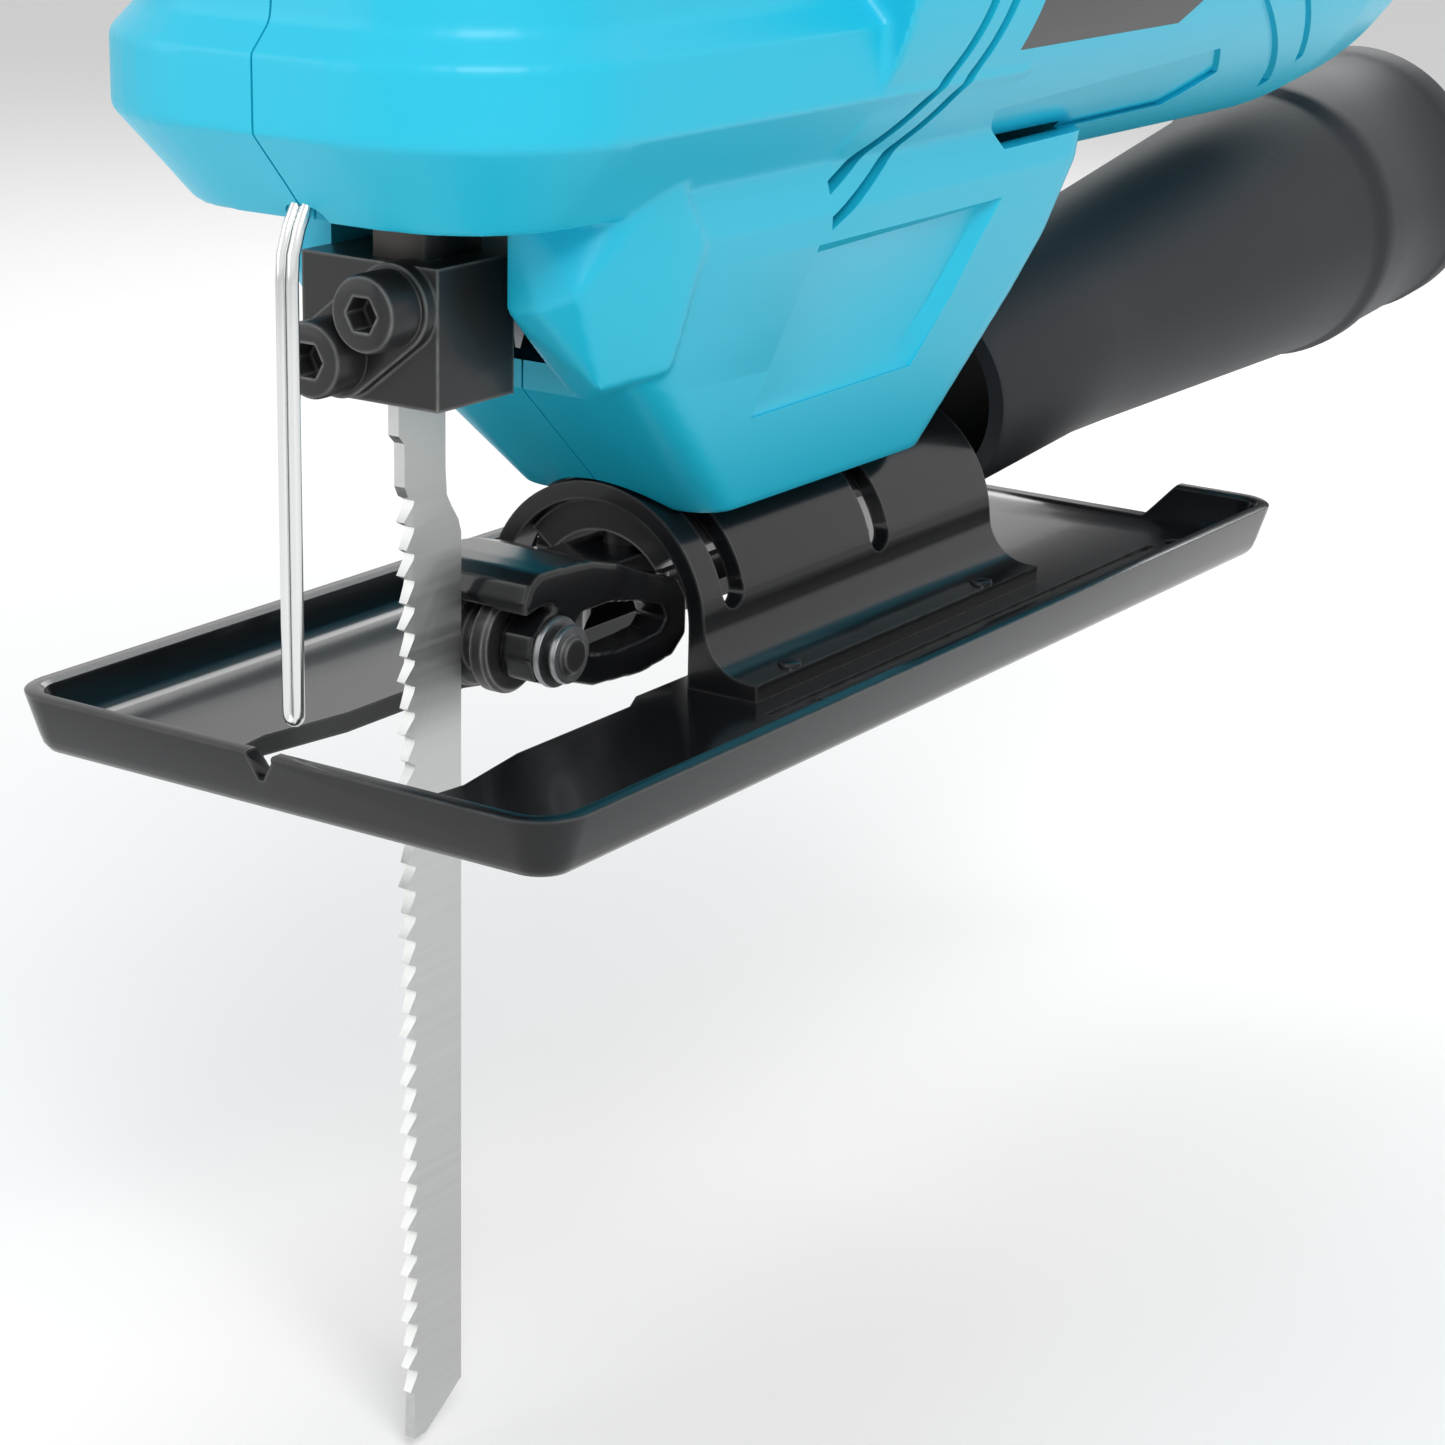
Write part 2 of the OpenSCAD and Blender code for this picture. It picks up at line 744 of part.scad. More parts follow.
module saw_blade() {
    y0 = -blade_w / 2;
    y1 = blade_w / 2;
    teeth = floor((blade_reach + 24 - 3) / tooth_pitch);
    depth = 1.1;
    back = [[y1, -blade_reach + 2.6], [y1, 20.5], [y1 - 0.5, 21.6], [1.9, 24], [1.7, 27], [1.7, blade_top]];
    front = concat(
        [[-5, blade_top], [-5, 31], [-4.2, 30.2], [-4.2, 26.4]],
        [for (k = [0 : teeth - 1], s = [0, 1])
            [y0 + (s == 0 ? depth : 0), 24.6 - k * tooth_pitch - (s == 0 ? 0 : 0.75 * tooth_pitch)]],
        [[y0 + 0.6, -blade_reach], [y0 + 2, -blade_reach]]
    );
    color("#b9bdbb") across(blade_t) polygon(concat(back, front));
}

// ---------- base ----------

// Rounded plan of the tray at height z, grown by d
function tray_ring(z, d) = [
    for (p = round_rect(sole_w / 2 + d, sole_len / 2 + d, 3 + d, 4))
        [p[0], p[1] + (sole_rear - sole_front) / 2, z]
];

module base_plate() {
    y0 = -sole_front;
    y1 = sole_rear;
    lip = rim_flare;
    color("#1b1c1e") difference() {
        loft([tray_ring(0, -0.8), tray_ring(0.8, 0), tray_ring(rim_h, lip)]);
        loft([tray_ring(plate_t, -plate_t - 0.4), tray_ring(plate_t + 0.8, -plate_t + 0.5),
            tray_ring(rim_h + 1, lip - plate_t + 0.6)]);
        // blade cut-out and the dust channel under the saddle
        linear_extrude(20, center = true) polygon([
            [-cutout_hw - 0.4, y0 + 3.2], [cutout_hw + 0.4, y0 + 3.2], [cutout_hw + 1.6, y0 + 12],
            [cutout_hw, y0 + 22], [cutout_hw, cutout_y1], [8.6, cutout_y1 + 3], [8.6, saddle_y1 - 4],
            [-8.6, saddle_y1 - 4], [-8.6, cutout_y1 + 3], [-cutout_hw, cutout_y1], [-cutout_hw - 2, y0 + 14]
        ]);
        // sight notch at the front, room for the dust tube at the rear
        block([-1, y0 - 4, rim_h - 1.6], [0.8, y0 + 4, rim_h + 2]);
        block([-1, y0 + 0.9, -1], [0.8, y0 + 4, rim_h]);
        block([-23, y1 - 2, plate_t], [23, y1 + 6, rim_h + 2]);
        for (sx = [-1, 1], y = [y1 - 10, y0 + 52]) translate([sx * (sole_w / 2 - 6), y, -1])
            cylinder(r = 1.6, h = 6, $fn = 24);
    }
}

module tilt_saddle() {
    z_top = plate_t + saddle_t + 0.02;
    drop = tilt_z - z_top - flare_r;
    color("#1d1e20") difference() {
        translate([0, saddle_y1, tilt_z]) rotate([90, 0, 0]) linear_extrude(saddle_len) difference() {
            union() {
                circle(r = saddle_r, $fn = 96);
                translate([-saddle_r, -drop - flare_r]) square([2 * saddle_r, drop + flare_r]);
                translate([-flange_x, -drop - flare_r - saddle_t]) square([2 * flange_x, saddle_t]);
                for (s = [0, 1]) mirror([s, 0, 0]) difference() {
                    translate([saddle_r - 0.1, -drop - flare_r - 0.1]) square([flare_r + 0.1, flare_r + 0.1]);
                    translate([saddle_r + flare_r, -drop]) circle(r = flare_r, $fn = 48);
                }
            }
            circle(r = saddle_in, $fn = 96);
            translate([-saddle_in, -20]) square([2 * saddle_in, 20]);
            translate([-20, -20]) square([40, 20 - drop - flare_r - saddle_t]);
        }
        for (y = bolt_y) slot_cut(y);
    }
}

// Slot round the saddle that lets the base tilt past a bolt
module slot_cut(y) {
    translate([0, y + slot_w / 2, tilt_z]) rotate([90, 0, 0]) linear_extrude(slot_w) polygon(concat(
        [[0, 0]], [for (a = [90 - slot_half : 6 : 90 + slot_half]) [20 * cos(a), 20 * sin(a)]]
    ));
}

module saddle_rivets() {
    color("#2a2b2d") for (s = [-1, 1], y = [saddle_y0 + 8, saddle_y0 + saddle_len - 10])
        translate([s * (saddle_r + 4.4 + 0.4), y, 0.02]) {
            translate([0, 0, plate_t + saddle_t + 0.02]) cylinder(r = 1.2, h = 0.5);
        }
}

// ---------- tilt clamp and guide roller ----------

module tilt_clamp_shoe() {
    color("#3c3e41") difference() {
        translate([0, saddle_y1 - 12, tilt_z]) rotate([90, 0, 0])
        linear_extrude(saddle_len - 12 - 1.5) intersection() {
            difference() {
                circle(r = shoe_r, $fn = 96);
                circle(r = shoe_r - shoe_t, $fn = 96);
            }
            polygon(concat([[0, 0]],
                [for (a = [90 - shoe_half : 8 : 90 + shoe_half]) [20 * cos(a), 20 * sin(a)]]));
        }
        for (y = bolt_y) translate([0, y, 0]) cylinder(r = bolt_r + 0.15, h = 40);
    }
}

module tilt_clamp_bolts() {
    seat = strap_z[0] - 0.02;
    color("#6d7074") for (y = bolt_y) translate([0, y, seat]) difference() {
        union() {
            cylinder(r = bolt_r, h = leg_z0 + 9.5 - seat);
            translate([0, 0, -1.6]) cylinder(r = 4.2, h = 1.6);
        }
        translate([0, 0, -2]) cylinder(r = 2, h = 1.6, $fn = 6);
    }
}

module nut_plate_shape(grow) {
    block([-7 - grow, bolt_y[0] - 6 - grow, leg_z0 + 4.8 - grow],
        [7 + grow, bolt_y[1] + 6 + grow, leg_z0 + 9 + grow]);
}

module tilt_nut_plate() {
    color("#8d9094") difference() {
        nut_plate_shape(0);
        for (y = bolt_y) translate([0, y, 0]) cylinder(r = bolt_r + 0.02, h = 60);
    }
}

module roller_arm() {
    y = roller_pos[0];
    z = roller_pos[1];
    color("#232427") difference() {
        union() {
            hull() {
                rod_x(3.2, -arm_hx - 1.8, arm_hx + 1.8, y + 0.4, z, $fn = 32);
                block([-arm_hx - 1.8, y + 9, z - 2.2], [arm_hx + 1.8, y + 11, z + 5]);
            }
            hull() {
                block([-arm_hx - 1.8, y + 9, z - 2.2], [arm_hx + 1.8, y + 11, z + 5]);
                block([-strap_hx, saddle_y0 + 1.2, tilt_z - 1], [strap_hx, saddle_y0 + 3, strap_z[1]]);
            }
            block([-strap_hx, saddle_y0 + 2, strap_z[0]], [strap_hx, bolt_y[1] + 5, strap_z[1]]);
        }
        rod_x(roller_r + 0.5, -roller_w / 2 - 0.4, roller_w / 2 + 0.4, y, z);
        block([-roller_w / 2 - 0.4, -5, 0], [roller_w / 2 + 0.4, y, 20]);
        rod_x(axle_r + 0.02, -20, 20, y, z);
        for (b = bolt_y) translate([0, b, 0]) cylinder(r = bolt_r + 0.15, h = 40);
        translate([0, bolt_y[0], 0]) cylinder(r = 4.4, h = strap_z[0]);
        block([-3.2, y + 8, z - 0.8], [3.2, saddle_y0 + 3, z + 1.8]);
    }
}

module roller_axle() {
    color("#1a1b1d") rod_x(axle_r, -arm_hx - 2.2, arm_hx + 4.6, roller_pos[0], roller_pos[1]);
}

module roller_clips() {
    color("#2f3133") for (x = [arm_hx + 2, arm_hx + 3.4]) difference() {
        rod_x(3.4 - (x > arm_hx + 3 ? 0.6 : 0), x, x + 0.7, roller_pos[0], roller_pos[1]);
        rod_x(axle_r + 0.01, 0, 20, roller_pos[0], roller_pos[1]);
    }
}

module guide_roller() {
    y = roller_pos[0];
    z = roller_pos[1];
    color("#3e4144") difference() {
        translate([-roller_w / 2, y, z]) rotate([0, 90, 0]) rotate_extrude() polygon([
            [axle_r + 0.06, 0], [roller_r, 0], [roller_r, 1.9], [roller_r - 1.6, 2.1],
            [roller_r - 1.6, roller_w - 2.1], [roller_r, roller_w - 1.9], [roller_r, roller_w],
            [axle_r + 0.06, roller_w]
        ]);
    }
}

// ---------- wire guard ----------

module wire_leg(points, r) {
    for (i = [0 : len(points) - 2]) hull() {
        translate(points[i]) sphere(r = r, $fn = 16);
        translate(points[i + 1]) sphere(r = r, $fn = 16);
    }
}

module wire_shape(r) {
    gap = wire_r + 0.05;
    wire_leg([[gap, -11, 62], [gap, -14.5, 57], [gap, -18.6, 50.5], [gap, wire_y, 47], [gap, wire_y, 14],
        [0.4, wire_y, wire_z0 + 1.3], [-0.4, wire_y, wire_z0 + 1.3], [-gap, wire_y, 14], [-gap, wire_y, 47],
        [-gap, -18.6, 50.5], [-gap, -14.5, 57], [-gap, -11, 62]], r);
}

module wire_guard() {
    color("#d9dcdd") union() wire_shape(wire_r);
}

// ---------- controls ----------

module trigger_shape() {
    y = trigger_y;
    z = trigger_z;
    hull() {
        block([-7.4, y - 17, z - 1], [7.4, y + 14, z + 4]);
        block([-6.6, y - 14, z - 11], [6.6, y - 9, z - 6]);
        block([-6.6, y + 4, z - 7.5], [6.6, y + 8, z - 5]);
    }
}

module trigger_pocket() {
    block([-7.8, trigger_y - 18.5, trigger_z - 20], [7.8, trigger_y + 15, trigger_z + 11.2]);
}

module trigger() {
    color("#1c1d1f") difference() {
        trigger_shape();
        rod_x(8.4, -20, 20, trigger_y + 1, trigger_z - 15.4);
        dial_room();
    }
}

module dial_room() {
    rod_x(5.4, -1.9, 1.9, trigger_y - 8.6, trigger_z - 7.4);
}

module speed_dial() {
    color("#e9e9e6") rotate([0, 0, 0]) difference() {
        rod_x(5.2, -1.6, 1.6, trigger_y - 8.6, trigger_z - 7.4);
        rod_x(0.8, -5, 5, trigger_y - 8.6, trigger_z - 7.4);
        for (a = [0 : 20 : 340]) translate([0, trigger_y - 8.6, trigger_z - 7.4]) rotate([a, 0, 0])
            block([-3, 5, -0.35], [3, 6, 0.35]);
    }
}

module switch_shape(grow) {
    block([-6.4 - grow, trigger_y - 16 - grow, trigger_z + 11.4 - grow],
        [6.4 + grow, trigger_y + 20 + grow, trigger_z + 22 + grow]);
}

module switch_module() {
    color("#1a1a1a") union() {
        switch_shape(0);
    }
}

module speed_board() {
    color("darkgreen") block([-8, trigger_y + 22, trigger_z + 12], [8, trigger_y + 44, trigger_z + 13.6]);
}

module lock_button() {
    color("#1c1d1f") union() {
        rod_x(4.4, 10.4, 18.4, button_y, button_z);
        rod_x(5.4, 10, 11, button_y, button_z);
    }
}

module button_pocket() {
    rod_x(4.7, 9.3, 30, button_y, button_z);
    rod_x(5.8, 6.6, 11.3, button_y, button_z);
}

// ---------- cord inlet ----------

module gland_place() {
    translate([0, gland_y, gland_z]) rotate([gland_tilt, 0, 0]) children();
}

module gland_shape(grow) {
    gland_place() rotate([-90, 0, 0]) {
        translate([0, 0, -12]) cylinder(r = 6.4 + grow, h = 16);
        translate([0, 0, 4 - grow]) cylinder(r = 7.6 + grow, h = 12);
    }
}

module cord_gland() {
    color("#1a1a1a") gland_place() rotate([-90, 0, 0]) difference() {
        union() {
            translate([0, 0, -12]) cylinder(r = 6.4, h = 16);
            translate([0, 0, 4]) cylinder(r = 7.6, h = 2);
        }
        translate([0, 0, -13]) cylinder(r = cord_r, h = 30);
    }
}

module cord_clamp() {
    color("#8a8d90") block([-9, 180, 118], [9, 186, 120.4]);
}

// ---------- dust tube ----------

module tube_place() {
    translate([0, tube_y0, tube_z0]) rotate([tube_tilt, 0, 0]) rotate([-90, 0, 0]) children();
}

module tube_socket(grow) {
    block([-5 - grow, 60, 32.4 - grow], [5 + grow, 98, 36.4 + grow]);
}

module dust_tube() {
    f = tube_front_r;
    m = tube_mouth_r;
    w = tube_wall;
    mouth = tube_len - tube_mouth_len;
    color("#303236") difference() {
        union() {
            tube_place() rotate_extrude($fn = 72) polygon([
                [0, 0], [f, 0], [f, 28], [m - 0.6, mouth], [m, mouth + 3], [m, tube_len], [0, tube_len]]);
            block([-4.8, 70, 32.6], [4.8, 100, 36.2]);
        }
        tube_place() translate([0, 0, -eps]) rotate_extrude($fn = 72) polygon([
            [0, 0], [f - w, 0], [f - w, 28], [m - w - 0.6, mouth], [tube_bore_r, mouth + 1],
            [tube_bore_r, tube_len + 1], [0, tube_len + 1]]);
    }
}

left_housing();
right_housing();
left_grip_pad();
right_grip_pad();
housing_screws();
left_label_plate();
right_label_plate();
lower_plunger_guide();
upper_plunger_guide();
gear_case();
front_bearing();
rear_bearing();
rear_bearing_sleeve();
motor_stator();
stator_coils();
brush_holders();
carbon_brushes();
brush_springs();
fan_baffle();
gear_axle();
switch_module();
speed_board();
cord_gland();
cord_clamp();
wire_guard();
tilt_clamp_shoe();
tilt_clamp_bolts();
tilt_nut_plate();
roller_arm();
roller_axle();
roller_clips();
armature_shaft();
armature_core();
armature_windings();
commutator();
cooling_fan();
drive_gear();
balance_weight();
crank_pin();
plunger_bar();
plunger_yoke();
yoke_rivets();
clamp_block();
clamp_screws();
saw_blade();
base_plate();
tilt_saddle();
saddle_rivets();
guide_roller();
trigger();
lock_button();
speed_dial();
dust_tube();
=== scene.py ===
import json
import math

import bmesh
import bpy
from mathutils import Matrix, Vector


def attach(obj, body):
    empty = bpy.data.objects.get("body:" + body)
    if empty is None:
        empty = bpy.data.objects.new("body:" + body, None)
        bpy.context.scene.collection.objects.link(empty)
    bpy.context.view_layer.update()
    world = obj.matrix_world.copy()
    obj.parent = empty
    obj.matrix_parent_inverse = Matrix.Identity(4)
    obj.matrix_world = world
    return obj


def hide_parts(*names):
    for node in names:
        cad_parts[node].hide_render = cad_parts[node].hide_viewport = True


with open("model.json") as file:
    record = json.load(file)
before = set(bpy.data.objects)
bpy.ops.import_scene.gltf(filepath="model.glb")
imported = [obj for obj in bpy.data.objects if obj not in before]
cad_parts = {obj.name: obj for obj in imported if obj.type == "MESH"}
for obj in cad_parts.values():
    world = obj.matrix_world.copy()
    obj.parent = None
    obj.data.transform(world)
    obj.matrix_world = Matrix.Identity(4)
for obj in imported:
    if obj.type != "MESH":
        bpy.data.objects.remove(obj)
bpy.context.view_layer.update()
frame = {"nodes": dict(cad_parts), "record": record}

bl_info = {
    "name": "Jigsaw",
    "version": (1, 0, 0),
    "blender": (4, 5, 0),
    "location": "3D View > Sidebar > Jigsaw",
    "description": "Builds a corded D-handle jigsaw piece by piece over its CAD frame",
    "category": "Object",
}

MM = 0.001
TILT_Z = 7.9
MOTOR_Z = 75.0
ROLLER_YZ = (9.2, 9.1)
# Handle centre line: y, z, turn in degrees, half thickness, half width
HANDLE = [
    (17, 96, 0, 22, 19), (15, 124, 2, 19, 17), (19, 146, -16, 18, 16.5), (36, 162, -55, 18, 16),
    (62, 163, -92, 17, 16), (100, 162, -96, 16.5, 16), (140, 156, -104, 16, 16),
    (169, 143, -128, 15.5, 16), (185, 119, -160, 14.5, 16.5), (183, 82, -183, 12.4, 15.2),
]
GRIP_FIRST, GRIP_LAST = 4, 7
HANDLE_TOP = 179.95
SCREWS = [(-8, 92), (40, 37), (66, 38), (108, 48), (29, 148), (118, 158.5), (187, 108), (172, 60), (122, 102)]


# ---------- meshes ----------

def add_mesh(name, verts, faces):
    """A closed mesh from millimetre points, with outward normals."""
    mesh = bpy.data.meshes.new(name)
    mesh.from_pydata([Vector(v) * MM for v in verts], [], faces)
    obj = bpy.data.objects.new(name, mesh)
    bpy.context.scene.collection.objects.link(obj)
    bm = bmesh.new()
    bm.from_mesh(mesh)
    bmesh.ops.remove_doubles(bm, verts=bm.verts, dist=1e-7)
    bmesh.ops.recalc_face_normals(bm, faces=bm.faces)
    bm.to_mesh(mesh)
    bm.free()
    return obj


def loft(name, rings, close=False):
    """Skin over rings with equal point counts; close joins the last ring to the first."""
    n = len(rings[0])
    m = len(rings)
    faces = []
    for j in range(m if close else m - 1):
        a, b = j * n, ((j + 1) % m) * n
        for i in range(n):
            k = (i + 1) % n
            faces.append((a + i, a + k, b + k, b + i))
    if not close:
        faces.append(tuple(reversed(range(n))))
        faces.append(tuple((m - 1) * n + i for i in range(n)))
    return add_mesh(name, [p for ring in rings for p in ring], faces)


def box(name, low, high):
    ring = [(low[0], low[1]), (high[0], low[1]), (high[0], high[1]), (low[0], high[1])]
    return loft(name, [[(x, y, z) for x, y in ring] for z in (low[2], high[2])])


def prism_x(name, points, x0, x1):
    """Outline in (y, z) pulled along X."""
    return loft(name, [[(x, y, z) for y, z in points] for x in (x0, x1)])


def prism_y(name, points, y0, y1):
    """Outline in (x, z) pulled along Y."""
    return loft(name, [[(x, y, z) for x, z in points] for y in (y0, y1)])


def circle(r, steps, cx=0.0, cz=0.0, start=0.0):
    return [(cx + r * math.cos(start + math.tau * i / steps), cz + r * math.sin(start + math.tau * i / steps))
            for i in range(steps)]


def rod_y(name, r, y0, y1, z=0.0, x=0.0, steps=48):
    return prism_y(name, circle(r, steps, x, z), y0, y1)


def rod_x(name, r, x0, x1, y, z, steps=32):
    return prism_x(name, circle(r, steps, y, z), x0, x1)


def rod_z(name, r, z0, z1, x, y, steps=32):
    return loft(name, [[(px, py, z) for px, py in circle(r, steps, x, y)] for z in (z0, z1)])


def lathe(name, outline, origin, axis, steps=72):
    """Turns a closed outline of (radius, height) round an axis through origin."""
    turn = Vector((0, 0, 1)).rotation_difference(Vector(axis)).to_matrix()
    rings = []
    for i in range(steps):
        a = math.tau * i / steps
        rings.append([tuple(turn @ Vector((r * math.cos(a), r * math.sin(a), h)) + Vector(origin))
                      for r, h in outline])
    return loft(name, rings, close=True)


def sweep(name, path, r, steps=16):
    """Round bar along a path that lies near one YZ plane."""
    rings = []
    pts = [Vector(p) for p in path]
    side = Vector((1, 0, 0))
    for i, p in enumerate(pts):
        ahead = pts[min(i + 1, len(pts) - 1)] - pts[max(i - 1, 0)]
        ahead.normalize()
        side = (side - ahead * side.dot(ahead)).normalized()
        up = ahead.cross(side)
        rings.append([tuple(p + side * r * math.cos(a) + up * r * math.sin(a))
                      for a in (math.tau * k / steps for k in range(steps))])
    return loft(name, rings)


def hull(name, points):
    mesh = bpy.data.meshes.new(name)
    obj = bpy.data.objects.new(name, mesh)
    bpy.context.scene.collection.objects.link(obj)
    bm = bmesh.new()
    for p in points:
        bm.verts.new(Vector(p) * MM)
    out = bmesh.ops.convex_hull(bm, input=bm.verts)
    spare = [g for g in out["geom_interior"] if isinstance(g, bmesh.types.BMVert)]
    bmesh.ops.delete(bm, geom=spare, context="VERTS")
    bmesh.ops.recalc_face_normals(bm, faces=bm.faces)
    bm.to_mesh(mesh)
    bm.free()
    return obj


def freeze(obj):
    """Turns modifiers into plain mesh."""
    graph = bpy.context.evaluated_depsgraph_get()
    mesh = bpy.data.meshes.new_from_object(obj.evaluated_get(graph))
    old = obj.data
    obj.modifiers.clear()
    obj.data = mesh
    mesh.name = obj.name
    if old.users == 0:
        bpy.data.meshes.remove(old)
    return obj


def combine(obj, tools, how="DIFFERENCE"):
    """Cuts, joins or keeps the common part with each tool, then drops the tools."""
    for tool in tools if isinstance(tools, (list, tuple)) else [tools]:
        mod = obj.modifiers.new("shape", "BOOLEAN")
        mod.operation = how
        mod.solver = "MANIFOLD"
        mod.object = tool
        freeze(obj)
        bpy.data.objects.remove(tool)
    if not obj.data.polygons:
        raise RuntimeError(f"{obj.name} came out empty")
    return obj


def duplicate(obj, name):
    twin = bpy.data.objects.new(name, obj.data.copy())
    bpy.context.scene.collection.objects.link(twin)
    return twin


def bevel(obj, width, segments=2, angle=30.0):
    mod = obj.modifiers.new("edges", "BEVEL")
    mod.width = width * MM
    mod.segments = segments
    mod.limit_method = "ANGLE"
    mod.angle_limit = math.radians(angle)
    mod.harden_normals = False
    return freeze(obj)


def soften(obj, voxel, passes, keep=1.0):
    """Remeshes a union into one even skin, rounds its edges and keeps a share of its triangles."""
    mod = obj.modifiers.new("skin", "REMESH")
    mod.mode = "VOXEL"
    mod.voxel_size = voxel * MM
    mod = obj.modifiers.new("round", "SMOOTH")
    mod.factor = 0.5
    mod.iterations = passes
    if keep < 1.0:
        obj.modifiers.new("thin", "DECIMATE").ratio = keep
    return freeze(obj)


def shade(obj, angle=32.0):
    obj.data.shade_smooth()
    obj.data.set_sharp_from_angle(angle=math.radians(angle))
    return obj


def place(obj, body, material, nodes=(), angle=32.0):
    """Gives a finished piece its shading, material, slot and body."""
    shade(obj, angle)
    obj.data.materials.clear()
    obj.data.materials.append(material)
    if nodes:
        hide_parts(*nodes)
    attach(obj, body)
    return obj


# ---------- geometry nodes ----------

def scatter_tree(name):
    """Instances a shape on every point of the input mesh, as one realised mesh."""
    tree = bpy.data.node_groups.get(name)
    if tree:
        return tree
    tree = bpy.data.node_groups.new(name, "GeometryNodeTree")
    face = tree.interface
    face.new_socket("Geometry", in_out="INPUT", socket_type="NodeSocketGeometry")
    face.new_socket("Shape", in_out="INPUT", socket_type="NodeSocketObject")
    face.new_socket("Material", in_out="INPUT", socket_type="NodeSocketMaterial")
    face.new_socket("Turn", in_out="INPUT", socket_type="NodeSocketFloat")
    face.new_socket("Seed", in_out="INPUT", socket_type="NodeSocketInt")
    face.new_socket("Geometry", in_out="OUTPUT", socket_type="NodeSocketGeometry")
    new = tree.nodes.new
    link = tree.links.new
    src, dst = new("NodeGroupInput"), new("NodeGroupOutput")
    info, inst = new("GeometryNodeObjectInfo"), new("GeometryNodeInstanceOnPoints")
    real, paint = new("GeometryNodeRealizeInstances"), new("GeometryNodeSetMaterial")
    rand, axis = new("FunctionNodeRandomValue"), new("ShaderNodeCombineXYZ")
    rand.data_type = "FLOAT"
    link(src.outputs["Shape"], info.inputs["Object"])
    link(src.outputs["Geometry"], inst.inputs["Points"])
    link(info.outputs["Geometry"], inst.inputs["Instance"])
    link(src.outputs["Turn"], rand.inputs[3])
    link(src.outputs["Seed"], rand.inputs["Seed"])
    link(rand.outputs[1], axis.inputs["X"])
    link(axis.outputs["Vector"], inst.inputs["Rotation"])
    link(inst.outputs["Instances"], real.inputs["Geometry"])
    link(real.outputs["Geometry"], paint.inputs["Geometry"])
    link(src.outputs["Material"], paint.inputs["Material"])
    link(paint.outputs["Geometry"], dst.inputs["Geometry"])
    return tree


def ring_tree(name):
    """Instances a shape round the Y axis, as one realised mesh."""
    tree = bpy.data.node_groups.get(name)
    if tree:
        return tree
    tree = bpy.data.node_groups.new(name, "GeometryNodeTree")
    face = tree.interface
    face.new_socket("Geometry", in_out="INPUT", socket_type="NodeSocketGeometry")
    face.new_socket("Shape", in_out="INPUT", socket_type="NodeSocketObject")
    face.new_socket("Material", in_out="INPUT", socket_type="NodeSocketMaterial")
    face.new_socket("Count", in_out="INPUT", socket_type="NodeSocketInt")
    face.new_socket("Centre", in_out="INPUT", socket_type="NodeSocketVector")
    face.new_socket("Geometry", in_out="OUTPUT", socket_type="NodeSocketGeometry")
    new = tree.nodes.new
    link = tree.links.new
    src, dst = new("NodeGroupInput"), new("NodeGroupOutput")
    info, inst = new("GeometryNodeObjectInfo"), new("GeometryNodeInstanceOnPoints")
    real, paint = new("GeometryNodeRealizeInstances"), new("GeometryNodeSetMaterial")
    line, index, step = new("GeometryNodeMeshLine"), new("GeometryNodeInputIndex"), new("ShaderNodeMath")
    angle, turn, move = new("ShaderNodeMath"), new("ShaderNodeCombineXYZ"), new("GeometryNodeTransform")
    line.mode = "OFFSET"
    line.inputs["Offset"].default_value = (0, 0, 0)
    step.operation = "DIVIDE"
    step.inputs[0].default_value = math.tau
    angle.operation = "MULTIPLY"
    link(src.outputs["Count"], line.inputs["Count"])
    link(src.outputs["Count"], step.inputs[1])
    link(index.outputs[0], angle.inputs[0])
    link(step.outputs[0], angle.inputs[1])
    link(angle.outputs[0], turn.inputs["Y"])
    link(line.outputs["Mesh"], inst.inputs["Points"])
    link(src.outputs["Shape"], info.inputs["Object"])
    link(info.outputs["Geometry"], inst.inputs["Instance"])
    link(turn.outputs["Vector"], inst.inputs["Rotation"])
    link(inst.outputs["Instances"], real.inputs["Geometry"])
    link(real.outputs["Geometry"], move.inputs["Geometry"])
    link(src.outputs["Centre"], move.inputs["Translation"])
    link(move.outputs["Geometry"], paint.inputs["Geometry"])
    link(src.outputs["Material"], paint.inputs["Material"])
    link(paint.outputs["Geometry"], dst.inputs["Geometry"])
    return tree


def run_tree(obj, tree, values):
    mod = obj.modifiers.new("nodes", "NODES")
    mod.node_group = tree
    for item in tree.interface.items_tree:
        if item.in_out == "INPUT" and item.name in values:
            mod[item.identifier] = values[item.name]
    return freeze(obj)


def scatter(name, shape, points, material, turn=0.0, seed=1):
    """Copies of shape at millimetre points, in one mesh."""
    mesh = bpy.data.meshes.new(name)
    mesh.from_pydata([Vector(p) * MM for p in points], [], [])
    obj = bpy.data.objects.new(name, mesh)
    bpy.context.scene.collection.objects.link(obj)
    values = {"Shape": shape, "Material": material, "Turn": turn, "Seed": seed}
    run_tree(obj, scatter_tree("Jigsaw Scatter"), values)
    bpy.data.objects.remove(shape)
    return obj


def ring_of(name, shape, count, centre, material):
    """Copies of shape turned round the Y axis through centre, in one mesh."""
    mesh = bpy.data.meshes.new(name)
    obj = bpy.data.objects.new(name, mesh)
    bpy.context.scene.collection.objects.link(obj)
    values = {"Shape": shape, "Material": material, "Count": count, "Centre": [c * MM for c in centre]}
    run_tree(obj, ring_tree("Jigsaw Ring"), values)
    bpy.data.objects.remove(shape)
    return obj


# ---------- materials ----------

